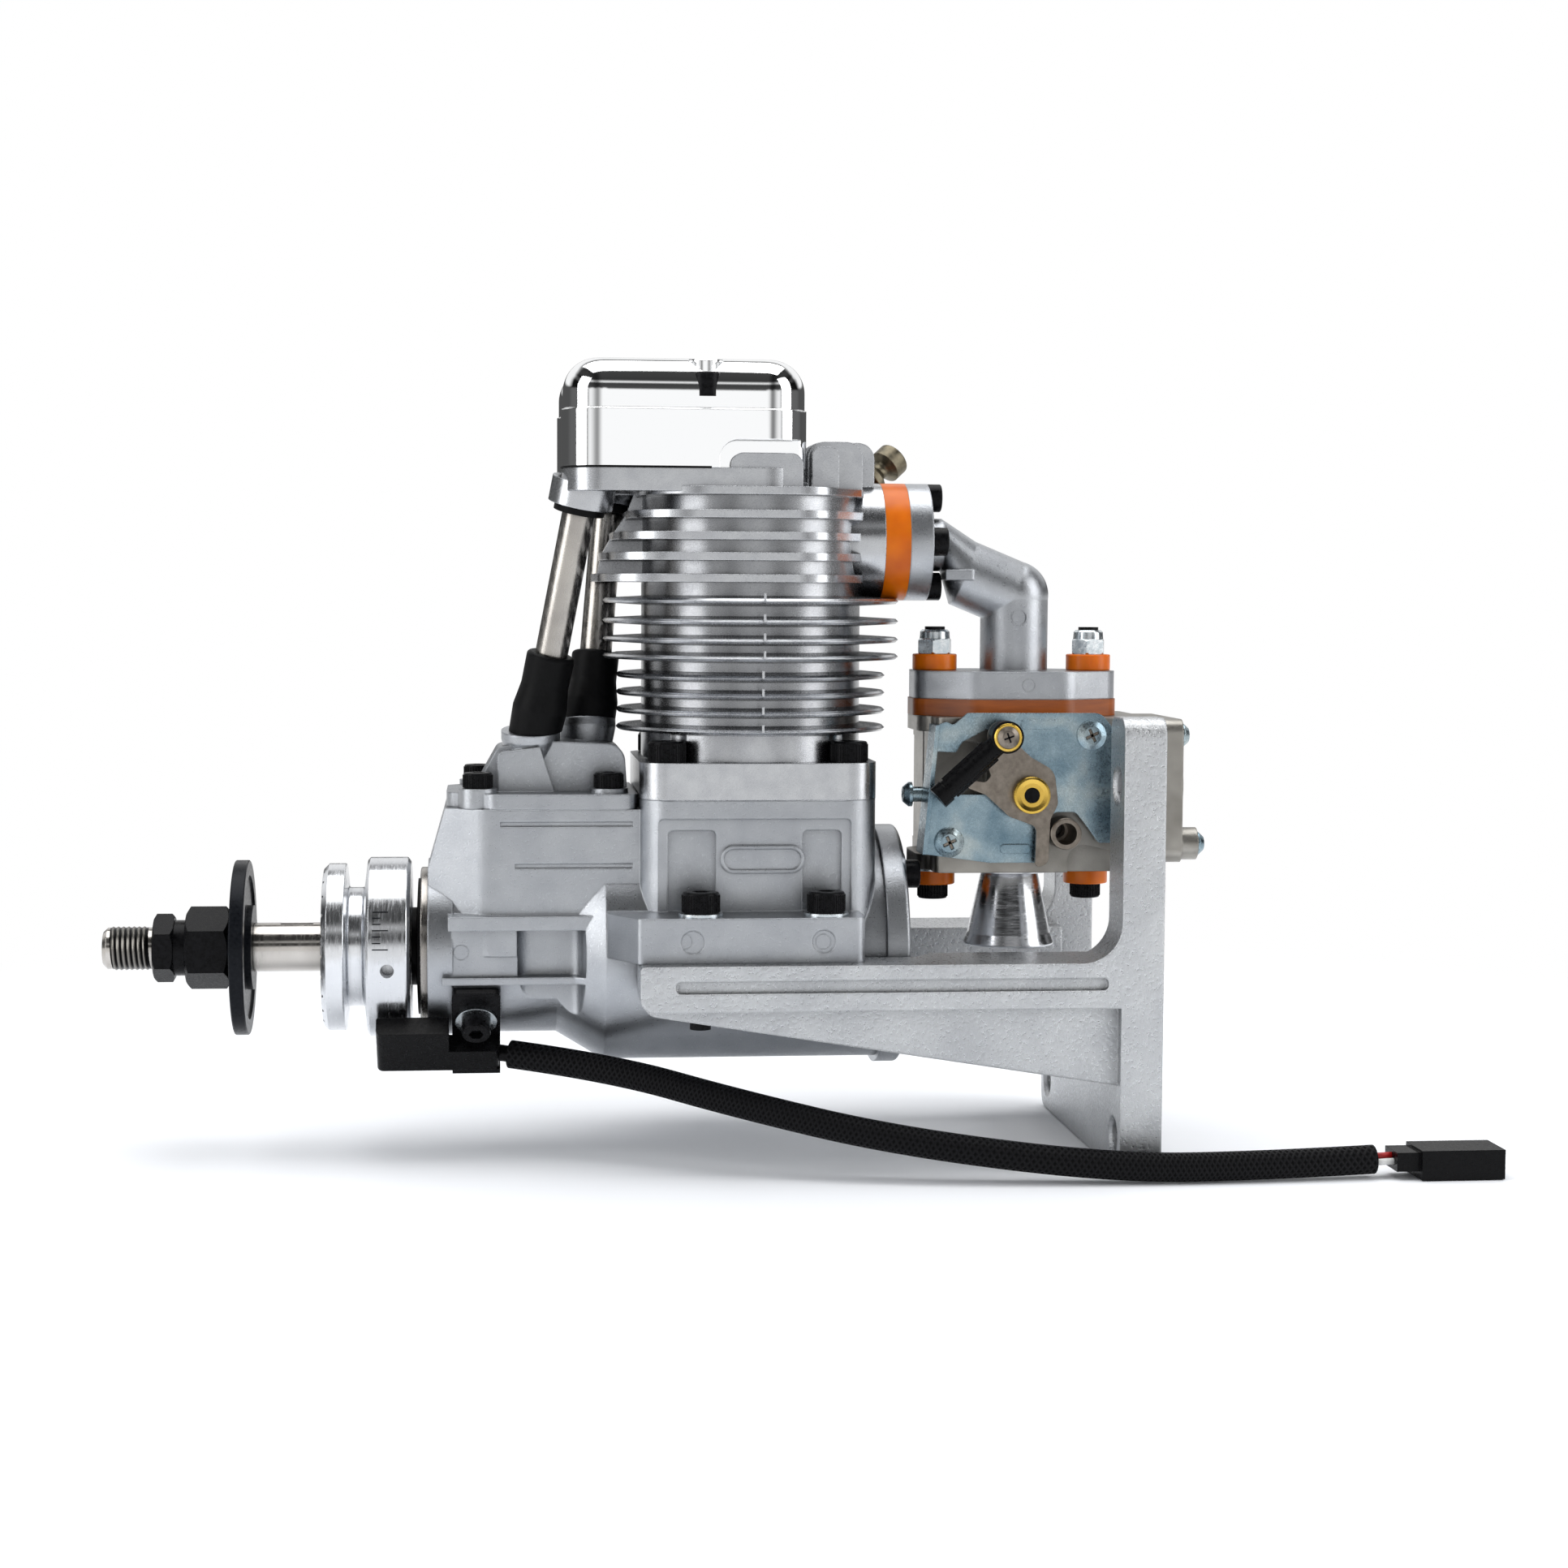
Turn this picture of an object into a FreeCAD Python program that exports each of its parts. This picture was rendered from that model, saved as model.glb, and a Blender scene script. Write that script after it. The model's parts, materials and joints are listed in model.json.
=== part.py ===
import FreeCAD, Part
import math
import os

V = FreeCAD.Vector
os.makedirs("parts", exist_ok=True)

# Frame: millimetres. The origin is the centre of the four firewall holes on the rear face of the mount.
# X runs along the crankshaft, from the propeller end at -X to the firewall, Z runs up the cylinder.

# Working fits
run_gap = 0.05
slide_gap = 0.05
thread_gap = 0.05
seat_gap = 0.12
eps = 0.5

# Crank mechanism
cylinder_x = -75.0
bore_r = 18.0
crank_throw = 11.0
rod_length = 48.0
pin_r = 3.5
big_end_r = 5.4
big_end_half = 4.0
wrist_r = 3.6
piston_crown = 12.6
piston_skirt = 8.0
web_r = 19.5
web_front = -87.2
web_rear = -79.3
case_inner_r = 20.2

# Crankshaft
stud_tip = -200.5
stud_r = 4.0
thread_core = 3.7
nut_front = -190.8
nut_joint = -186.9
washer_front = -176.3
shaft_step = -171.8
shaft_r = 4.75
middle_front = -124.0
middle_r = 6.2
journal_front = -97.4
journal_r = 7.5

# Drive hub: a serrated disc at the front, a groove and a rim with the timing mark
hub_front = -158.2
hub_rear = -141.35
hub_long = hub_rear - hub_front
hub_disc_r = 16.3
hub_disc = 4.3
hub_neck_r = 11.6
hub_rim_r = 17.5
hub_rim = 8.5
hub_serrations = 24

# Timing gears
gear_module = 0.6
crank_teeth = 18
cam_teeth = 2 * crank_teeth
gear_backlash = 0.07
gear_front = -130.4
gear_rear = -125.6
cam_z = 0.5 * gear_module * (crank_teeth + cam_teeth)
cam_shaft_r = 2.5
lobe_base_r = 5.2
lobe_lift = 2.8
lobe_half = 3.0

# Valve train, one value for each side: inlet at -Y, exhaust at +Y
lifter_tilt = math.atan(13.5 / 75.8)
lifter_x = {"in": -118.2, "ex": -107.0}
push_x = {"in": -106.8, "ex": -101.6}
side = {"in": -1.0, "ex": 1.0}
lifter_r = 3.5
lifter_foot_r = 4.0
lifter_long = 12.4
pushrod_r = 1.25
push_top_z = 97.0
rocker_x = -90.5
rocker_z = 100.4
rocker_pin_r = 2.0
rocker_half = 2.2
valve_x = -78.0
valve_tilt = math.radians(11.0)
valve_y = 13.5
valve_ref_z = 98.0
valve_stem_r = 1.5
valve_head_r = 6.6
valve_face_z = 77.4
valve_tip_z = 102.6
tube_r = 3.15
tube_inner_r = 2.65
boss_top = {"in": 42.6, "ex": 44.2}
spring_seat_z = 93.4
spring_r = 4.2

# Crankcase
case_front = -138.0
case_rear = -50.5
case_r = 22.4
nose_r = 17.25
box_half = 17.6
box_top = 28.1
block_front = -97.75
block_rear = -52.25
block_half = 22.75
block_top = 30.2
lug_half = 33.0
lug_low = 0.4
lug_top = 8.9
lug_front = -98.5
lug_rear = -56.0
lug_bolt_x = (-86.8, -63.1)
lug_bolt_y = 28.6
cover_top = 31.0
cover_front = -134.4
cover_rear = -98.0
rear_bearing_r = 12.0
front_bearing_r = 11.5

# Cylinder and head
flange_top = 37.2
barrel_r = 21.5
skirt_low = 22.3
deck_z = 72.4
head_top = 88.7
low_fins = (43.2, 46.6, 50.0, 53.4)
low_fin_r = 26.5
high_fins = (57.1, 60.4, 64.0, 67.9)
high_fin_r = 29.1
head_fins = ((72.2, -106.1), (76.3, -104.7), (80.2, -102.6), (84.3, -99.8), (head_top, -97.7))
head_fin_half = 24.5
top_fins = ((-21.4, -80.8, -67.2, 95.8), (-16.6, -64.9, -59.8, 97.3), (-10.2, -64.9, -54.4, 98.6),
            (-3.6, -64.9, -51.2, 98.8), (3.6, -64.9, -51.2, 98.8), (10.2, -64.9, -54.4, 98.6),
            (16.6, -64.9, -59.8, 97.3), (21.4, -80.8, -67.2, 95.8))
fin_thick = 1.5
base_screw = 17.5
port_z = 79.6
port_r = 11.5
port_face = -49.7
port_bolt_r = 8.7
exhaust_face = 32.0
exhaust_r = 6.5

# Spark plug, from its tip in the chamber to its terminal
plug_tip = V(-66.0, 8.0, 77.0)
plug_end = V(-43.4, 22.0, 97.2)
plug_axis = plug_end - plug_tip
plug_long = plug_axis.Length

# Rocker covers
rocker_box_front = -112.6
rocker_box_rear = -65.9
rocker_box_half = 9.7
rocker_box_round = 8.5
rocker_floor = 92.9
rocker_cover_top = 113.6
cover_wall = 1.2

# Inlet elbow and carburettor
insulator_rear = -44.8
elbow_flange_rear = -40.3
elbow_pipe_r = 6.7
elbow_bore_r = 5.0
elbow_neck_r = 5.2
throat_x = -22.7
elbow_knee_z = 69.3
carb_flange_z = 48.9
carb_flange_top = 54.4
carb_top = 45.6
carb_low = 15.4
carb_bolt_half = 15.5
carb_front = -42.6
carb_rear = 2.6
carb_half = 15.5
throttle_z = 31.0
throttle_shaft_r = 2.5
throttle_bore_r = 6.6
carb_plate_y = -17.2
nipple_x = -15.6
nipple_z = 23.4
idle_z = 30.4
link_x = -28.2
link_z = 42.3
lever_y = -20.8
link_spacer = 1.1
link_wide = 4.1

# Mount
mount_half_outer = 37.0
mount_half_inner = 25.4
mount_thick = 8.0
mount_low = -40.0
mount_high = 46.4
hole_y = 31.0
hole_z = 33.5
hole_r = 3.25
beam_front = -98.5
beam_low_front = -9.0
beam_low_rear = -23.4

# Screws: shank radius, head radius, head height, hexagon socket across flats
m4 = (2.0, 3.5, 4.0, 3.0)
m3 = (1.5, 2.75, 3.0, 2.5)

# Ignition sensor on the nose, and its lead laid in front of the mount foot
sensor_x = -128.8
sensor_half = 4.6
sensor_swing = 43.0
sensor_pad_y = -nose_r - 0.1
gland_r = 1.6
lead_r = 2.75
lead_y = -43.5
plug_x = 43.4


def save(name, shape):
    shape.exportStep("parts/" + name + ".step")


def box(x0, x1, y0, y1, z0, z1):
    return Part.makeBox(x1 - x0, y1 - y0, z1 - z0, V(x0, y0, z0))


def rod(start, end, radius):
    axis = end - start
    return Part.makeCylinder(radius, axis.Length, start, axis)


def taper(start, end, r_start, r_end):
    axis = end - start
    return Part.makeCone(r_start, r_end, axis.Length, start, axis)


def along(start, direction, length):
    unit = V(direction)
    unit.normalize()
    return start + unit * length


def join(shapes):
    return shapes[0].multiFuse(shapes[1:]).removeSplitter()


def loose(shapes):
    return Part.makeCompound(shapes)


def outline(points, place):
    # Closed wire through corners given as (a, b, corner radius).
    ends = []
    count = len(points)
    for i, (a, b, radius) in enumerate(points):
        here = V(a, b, 0)
        before = V(points[i - 1][0], points[i - 1][1], 0) - here
        after = V(points[(i + 1) % count][0], points[(i + 1) % count][1], 0) - here
        before.normalize()
        after.normalize()
        if radius == 0:
            ends.append((here, None, here))
            continue
        half = before.getAngle(after) / 2
        inward = before + after
        inward.normalize()
        reach = radius / math.tan(half)
        middle = here + inward * (radius / math.sin(half) - radius)
        ends.append((here + before * reach, middle, here + after * reach))
    edges = []
    for i, (start, middle, stop) in enumerate(ends):
        if middle is not None:
            edges.append(Part.Arc(place(start), place(middle), place(stop)).toShape())
        following = ends[(i + 1) % count][0]
        if (following - stop).Length > 1e-5:
            edges.append(Part.makeLine(place(stop), place(following)))
    return Part.Wire(edges)


def slab_x(points, x0, x1):
    face = Part.Face(outline(points, lambda p: V(x0, p.x, p.y)))
    return face.extrude(V(x1 - x0, 0, 0))


def slab_y(points, y0, y1):
    face = Part.Face(outline(points, lambda p: V(p.x, y0, p.y)))
    return face.extrude(V(0, y1 - y0, 0))


def slab_z(points, z0, z1):
    face = Part.Face(outline(points, lambda p: V(p.x, p.y, z0)))
    return face.extrude(V(0, 0, z1 - z0))


def turned(points, origin, axis):
    # Solid of revolution from (radius, distance along the axis, corner radius).
    face = Part.Face(outline(points, lambda p: V(p.x, 0, p.y)))
    solid = face.revolve(V(0, 0, 0), V(0, 0, 1), 360)
    solid.Placement = FreeCAD.Placement(origin, FreeCAD.Rotation(V(0, 0, 1), axis))
    return solid


def hexagon(centre, axis, flats, length, turn=0.0):
    corners = []
    for i in range(6):
        angle = math.radians(60 * i + turn)
        corners.append((math.cos(angle) * flats / math.sqrt(3), math.sin(angle) * flats / math.sqrt(3), 0))
    solid = slab_z(corners, 0, length)
    solid.Placement = FreeCAD.Placement(centre, FreeCAD.Rotation(V(0, 0, 1), axis))
    return solid


def cap_screw(seat, axis, size, length):
    # Head stands along the axis from its seat, the shank runs the other way.
    shank_r, head_r, head_h, flats = size
    round_off = 0.12 * head_h
    profile = [(0, -length, 0), (shank_r, -length, 0), (shank_r, 0, 0), (head_r, 0, 0),
               (head_r, head_h, round_off), (0, head_h, 0)]
    screw = turned(profile, seat, axis)
    return screw.cut(hexagon(along(seat, axis, 0.45 * head_h), axis, flats, head_h))


def screw_hole(seat, axis, size, length):
    return rod(along(seat, axis, eps), along(seat, axis, -length - 0.4), size[0] + thread_gap)


def gear(teeth, width_from, width_to, centre_z, first_tooth):
    # Involute spur gear about an axis along X, teeth measured from +Y towards +Z.
    pitch_r = 0.5 * gear_module * teeth
    pressure = math.radians(20)
    base_r = pitch_r * math.cos(pressure)
    root_r = pitch_r - 1.25 * gear_module
    tip_r = pitch_r + 0.95 * gear_module
    half_pitch = math.pi / (2 * teeth) - 0.5 * gear_backlash / pitch_r
    steps = [max(base_r, root_r) + (tip_r - max(base_r, root_r)) * i / 3 for i in range(4)]
    flank = [(root_r, half_pitch + math.tan(pressure) - pressure)] if root_r < base_r else []
    for radius in steps:
        spread = math.acos(min(1.0, base_r / radius))
        flank.append((radius, half_pitch + (math.tan(pressure) - pressure) - (math.tan(spread) - spread)))
    corners = []
    for i in range(teeth):
        centre = first_tooth + 2 * math.pi * i / teeth
        lower = [(radius, centre - angle) for radius, angle in flank]
        upper = [(radius, centre + angle) for radius, angle in reversed(flank)]
        corners += [(radius * math.cos(a), centre_z + radius * math.sin(a), 0) for radius, a in lower + upper]
    return slab_x(corners, width_from, width_to)


def tube_path(points, radius):
    # Round tube along straight runs joined by tangent arcs.
    edges = []
    last = points[0]
    radii = []
    for i in range(1, len(points) - 1):
        here = points[i]
        before = points[i - 1] - here
        after = points[i + 1] - here
        shorter = min(before.Length, after.Length)
        turn = math.pi - before.getAngle(after)
        bend = 0.45 * shorter / math.tan(turn / 2)
        reach = 0.45 * shorter
        before.normalize()
        after.normalize()
        inward = before + after
        inward.normalize()
        start = here + before * reach
        stop = here + after * reach
        middle = here + inward * (bend / math.cos(turn / 2) - bend)
        edges.append(Part.LineSegment(last, start).toShape())
        edges.append(Part.Arc(start, middle, stop).toShape())
        last = stop
        radii.append(round(bend, 1))
    edges.append(Part.LineSegment(last, points[-1]).toShape())
    spine = Part.Wire(edges)
    circle = Part.Wire(Part.makeCircle(radius, points[0], points[1] - points[0]))
    solid = spine.makePipeShell([circle], True, False)
    print("lead bend radii", radii, "length", round(spine.Length, 1),
          "volume", round(solid.Volume, 1), "expected", round(spine.Length * math.pi * radius ** 2, 1))
    return solid


def crankshaft():
    front = turned([(0, 0, 0), (3.2, 0, 0), (stud_r, 0.8, 0), (stud_r, nut_front - 0.1 - stud_tip, 0),
                    (thread_core, nut_front - 0.1 - stud_tip, 0), (thread_core, shaft_step - stud_tip, 0),
                    (shaft_r, shaft_step - stud_tip, 0), (shaft_r, middle_front - stud_tip, 0),
                    (middle_r, middle_front - stud_tip, 0.4), (middle_r, journal_front - stud_tip, 0),
                    (journal_r, journal_front - stud_tip, 0), (journal_r, web_front + 1 - stud_tip, 0),
                    (0, web_front + 1 - stud_tip, 0)], V(stud_tip, 0, 0), V(1, 0, 0))
    weight = rod(V(web_front, 0, 0), V(web_rear, 0, 0), web_r).cut(box(-100, -70, -30, 30, 2, 30))
    cheek_half = big_end_r + 3.0
    cheek = slab_x([(-cheek_half, -4, 0), (-cheek_half, crank_throw + big_end_r, 6), (cheek_half,
                    crank_throw + big_end_r, 6), (cheek_half, -4, 0)], web_front, web_rear)
    teeth = gear(crank_teeth, gear_front, gear_rear, 0, math.pi / 2)
    keyway = box(-166.6, -160.4, -1.2, 1.2, shaft_r - 1.2, shaft_r + 1)
    return join([front, weight, cheek, teeth]).cut(keyway)


def camshaft():
    shaft = rod(V(-133.4, 0, cam_z), V(-96.4, 0, cam_z), cam_shaft_r)
    collar = rod(V(gear_rear, 0, cam_z), V(gear_rear + 3.2, 0, cam_z), 4.6)
    solids = [shaft, collar, gear(cam_teeth, gear_front, gear_rear, cam_z, -math.pi / 2 + math.pi / cam_teeth)]
    for key, angle in (("in", -150), ("ex", -20)):
        x = lifter_x[key]
        base = rod(V(x - lobe_half, 0, cam_z), V(x + lobe_half, 0, cam_z), lobe_base_r)
        nose_r = 2.6
        reach = lobe_base_r + lobe_lift - nose_r
        drop = math.acos((lobe_base_r - nose_r) / reach)
        flank = [(math.cos(drop) * lobe_base_r, math.sin(drop) * lobe_base_r, 0),
                 (-lobe_base_r * 0.4, 0, 0),
                 (math.cos(drop) * lobe_base_r, -math.sin(drop) * lobe_base_r, 0),
                 (reach + math.cos(drop) * nose_r, -math.sin(drop) * nose_r, 0),
                 (reach + math.cos(drop) * nose_r, math.sin(drop) * nose_r, 0)]
        wedge = slab_x(flank, x - lobe_half, x + lobe_half)
        nose = rod(V(x - lobe_half, reach, 0), V(x + lobe_half, reach, 0), nose_r)
        lobe = wedge.fuse(nose)
        lobe.rotate(V(0, 0, 0), V(1, 0, 0), angle)
        lobe.translate(V(0, 0, cam_z))
        solids += [base, lobe]
    return join(solids)


def lifter_axis(key):
    return V(0, side[key] * math.sin(lifter_tilt), math.cos(lifter_tilt))


def lifter_foot(key):
    return along(V(lifter_x[key], 0, cam_z), lifter_axis(key), lobe_base_r + lobe_lift + seat_gap)


def lifter_top(key):
    return along(lifter_foot(key), lifter_axis(key), lifter_long)


def push_top(key):
    rise = push_top_z - cam_z
    return V(push_x[key], side[key] * rise * math.tan(lifter_tilt), push_top_z)


def push_direction(key):
    unit = push_top(key) - lifter_top(key)
    unit.normalize()
    return unit


def push_at(key, z):
    unit = push_direction(key)
    top = lifter_top(key)
    return top + unit * ((z - top.z) / unit.z)


def lifter(key):
    profile = [(0, 0, 0), (lifter_foot_r, 0, 0), (lifter_foot_r, 1.6, 0), (lifter_r, 2.2, 0),
               (lifter_r, lifter_long, 0.5), (1.7, lifter_long, 0), (1.4, lifter_long - 1.2, 0),
               (0, lifter_long - 1.2, 0)]
    tappet = turned(profile, lifter_foot(key), lifter_axis(key))
    start = along(lifter_foot(key), lifter_axis(key), lifter_long - 1.0)
    long = (push_top(key) - start).Length
    push = turned([(0, 0, 0), (0.7, 0, 0), (pushrod_r, 0.9, 0), (pushrod_r, long - 4.5, 0), (1.9, long - 4.0, 0),
                   (1.9, long - 0.9, 0), (0.9, long, 0), (0, long, 0)], start, push_top(key) - start)
    return loose([tappet, push])


def valve_axis(key):
    return V(0, side[key] * math.sin(valve_tilt), math.cos(valve_tilt))


def valve_at(key, z):
    unit = valve_axis(key)
    return V(valve_x, side[key] * valve_y, valve_ref_z) + unit * ((z - valve_ref_z) / unit.z)


def valve(key):
    face = valve_at(key, valve_face_z)
    long = (valve_at(key, valve_tip_z) - face).Length
    stem = turned([(0, 0, 0), (valve_head_r - 0.4, 0, 0), (valve_head_r, 0.5, 0), (valve_head_r, 1.0, 0),
                   (valve_stem_r, 3.2, 1.5), (valve_stem_r, long, 0), (0, long, 0)], face, valve_axis(key))
    low = along(valve_at(key, valve_tip_z), valve_axis(key), -3.4)
    retainer = turned([(valve_stem_r, 0, 0), (3.0, 0, 0), (3.0, 0.6, 0), (spring_r + 0.1, 0.6, 0),
                       (spring_r + 0.1, 1.5, 0.2), (2.4, 2.2, 0), (valve_stem_r, 2.2, 0)], low, valve_axis(key))
    return loose([stem, retainer])


def spring(key):
    low = valve_at(key, spring_seat_z)
    top = along(valve_at(key, valve_tip_z), valve_axis(key), -2.8)
    wire = 0.45
    height = (top - low).Length - 2 * wire - 0.1
    turns = 3.5
    helix = Part.makeHelix(height / turns, height, spring_r - wire)
    circle = Part.Wire(Part.makeCircle(wire, V(spring_r - wire, 0, 0), V(0, 1, 0)))
    coil = Part.Wire(helix).makePipeShell([circle], True, True)
    coil.Placement = FreeCAD.Placement(along(low, valve_axis(key), wire + 0.05),
                                       FreeCAD.Rotation(V(0, 0, 1), valve_axis(key)))
    return coil


def rocker(key):
    y = side[key] * valve_y
    tip = valve_at(key, valve_tip_z)
    push = push_top(key)
    hub = rod(V(rocker_x, y - rocker_half, rocker_z), V(rocker_x, y + rocker_half, rocker_z), 4.2)
    arm_low = rocker_z + 1.0
    arm_top = rocker_z + 4.8
    rear = slab_y([(rocker_x, rocker_z - 1, 0), (tip.x - 1, arm_low + 2.0, 1.5), (tip.x + 1.5, arm_low + 2.2, 0.5),
                   (tip.x + 1.5, arm_top, 0.8), (rocker_x, arm_top, 2)], y - rocker_half, y + rocker_half)
    pad_r = 2.2
    across = V(0, math.cos(valve_tilt), -side[key] * math.sin(valve_tilt))
    middle = along(tip, valve_axis(key), seat_gap + pad_r)
    pad = rod(middle - across * 1.8, middle + across * 1.8, pad_r)
    front = slab_y([(rocker_x, rocker_z - 1, 0), (rocker_x, arm_top, 2), (push.x - 2.8, arm_top, 1.2),
                    (push.x - 2.8, rocker_z + 0.6, 1.2), (push.x + 2.0, rocker_z + 0.6, 1.0)],
                   y - rocker_half, y + rocker_half)
    knuckle = rod(V(push.x, push.y, rocker_z + 1.2), V(push.x, push.y, arm_top), 3.0)
    screw = turned([(0, 0, 0), (0.9, 0, 0), (1.7, 1.2, 0), (1.4, 2.4, 0), (1.4, 8.6, 0), (0, 8.6, 0)],
                   V(push.x, push.y, push_top_z + 2 * seat_gap), V(0, 0, 1))
    nut = hexagon(V(push.x, push.y, arm_top), V(0, 0, 1), 4.5, 1.8)
    bored = join([hub, rear, pad, front, knuckle, screw, nut])
    hole = rod(V(rocker_x, y - 9, rocker_z), V(rocker_x, y + 9, rocker_z), rocker_pin_r + run_gap)
    return bored.cut(hole)


def rocker_shafts():
    solids = []
    for key in ("in", "ex"):
        y = side[key] * valve_y
        solids.append(rod(V(rocker_x, y - 6.2, rocker_z), V(rocker_x, y + 6.2, rocker_z), rocker_pin_r))
    return loose(solids)


def pill(x0, x1, y, half, radius, z0, z1):
    return slab_z([(x0, y - half, radius), (x1, y - half, radius), (x1, y + half, radius),
                   (x0, y + half, radius)], z0, z1)


def cover_screw_seat(key):
    return V(-85.4, side[key] * 18.4, 107.9)


def rocker_cover(key):
    y = side[key] * valve_y
    step_z = 103.9
    low = pill(rocker_box_front, rocker_box_rear, y, rocker_box_half, rocker_box_round, rocker_floor, step_z)
    inset = 0.35
    high = pill(rocker_box_front + inset, rocker_box_rear - inset, y, rocker_box_half - inset,
                rocker_box_round - inset, step_z - 1, rocker_cover_top)
    rims = [e for e in high.Edges if abs(e.BoundBox.ZMin - rocker_cover_top) < 1e-4]
    high = high.makeFillet(6.4, rims)
    wall = cover_wall
    hollow = pill(rocker_box_front + wall, rocker_box_rear - wall, y, rocker_box_half - wall,
                  rocker_box_round - wall, rocker_floor - 1, rocker_cover_top - wall)
    rims = [e for e in hollow.Edges if abs(e.BoundBox.ZMin - rocker_cover_top + wall) < 1e-4]
    hollow = hollow.makeFillet(5.6, rims)
    shell = low.fuse(high).cut(hollow)
    seat = cover_screw_seat(key)
    notch = rod(seat, V(seat.x, seat.y, rocker_cover_top + 1), m3[1] + 0.5)
    boss = rod(V(seat.x, seat.y, seat.z - 1.3), V(seat.x, seat.y, rocker_cover_top - 0.6), m3[1] + 1.6)
    stem = rod(V(seat.x, seat.y, seat.z - 4.6), V(seat.x, seat.y, seat.z), 2.5)
    boss = boss.fuse(stem).common(low.fuse(high))
    shell = shell.fuse(boss).cut(notch)
    shell = shell.cut(rod(V(seat.x, seat.y, 90), V(seat.x, seat.y, 110), m3[0] + 0.15))
    fin_y = side[key] * 24.5
    clear_in = side[key] * 19.7
    relief = slab_y([(-83.0, 88, 0), (-83.0, 98.2, 3.5), (-60, 98.2, 0), (-60, 88, 0)],
                    min(fin_y, clear_in), max(fin_y, clear_in))
    liner = slab_y([(-84.2, rocker_floor, 0), (-84.2, 99.4, 3.5), (-64, 99.4, 0), (-64, rocker_floor, 0)],
                   min(side[key] * 23.0, side[key] * 18.7), max(side[key] * 23.0, side[key] * 18.7))
    liner = liner.common(low)
    post = rod(V(seat.x, seat.y, 90), V(seat.x, seat.y, seat.z - 4.6), 2.7)
    return shell.fuse(liner).cut([relief, post]).removeSplitter()


def rocker_cover_screws():
    return loose([cap_screw(cover_screw_seat(key), V(0, 0, 1), m3, 9.0) for key in ("in", "ex")])


def spark_plug():
    body = turned([(0, 0, 0), (4.3, 0, 0), (4.9, 0.6, 0), (4.9, 9.5, 0), (6.6, 9.5, 0), (6.6, 11.0, 0),
                   (5.2, 11.0, 0), (5.2, 16.5, 0), (3.9, 17.4, 0), (3.9, 23.0, 0.8), (2.6, 23.0, 0),
                   (2.6, 24.4, 0), (3.5, 24.4, 0.3), (3.5, 26.0, 0), (1.7, 27.6, 1.0), (1.7, 29.0, 1.0),
                   (3.5, 30.2, 0), (3.5, plug_long, 0.4), (0, plug_long, 0)], plug_tip, plug_axis)
    nut = hexagon(along(plug_tip, plug_axis, 11.0), plug_axis, 12.0, 4.6)
    return body.fuse(nut).removeSplitter()


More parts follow.
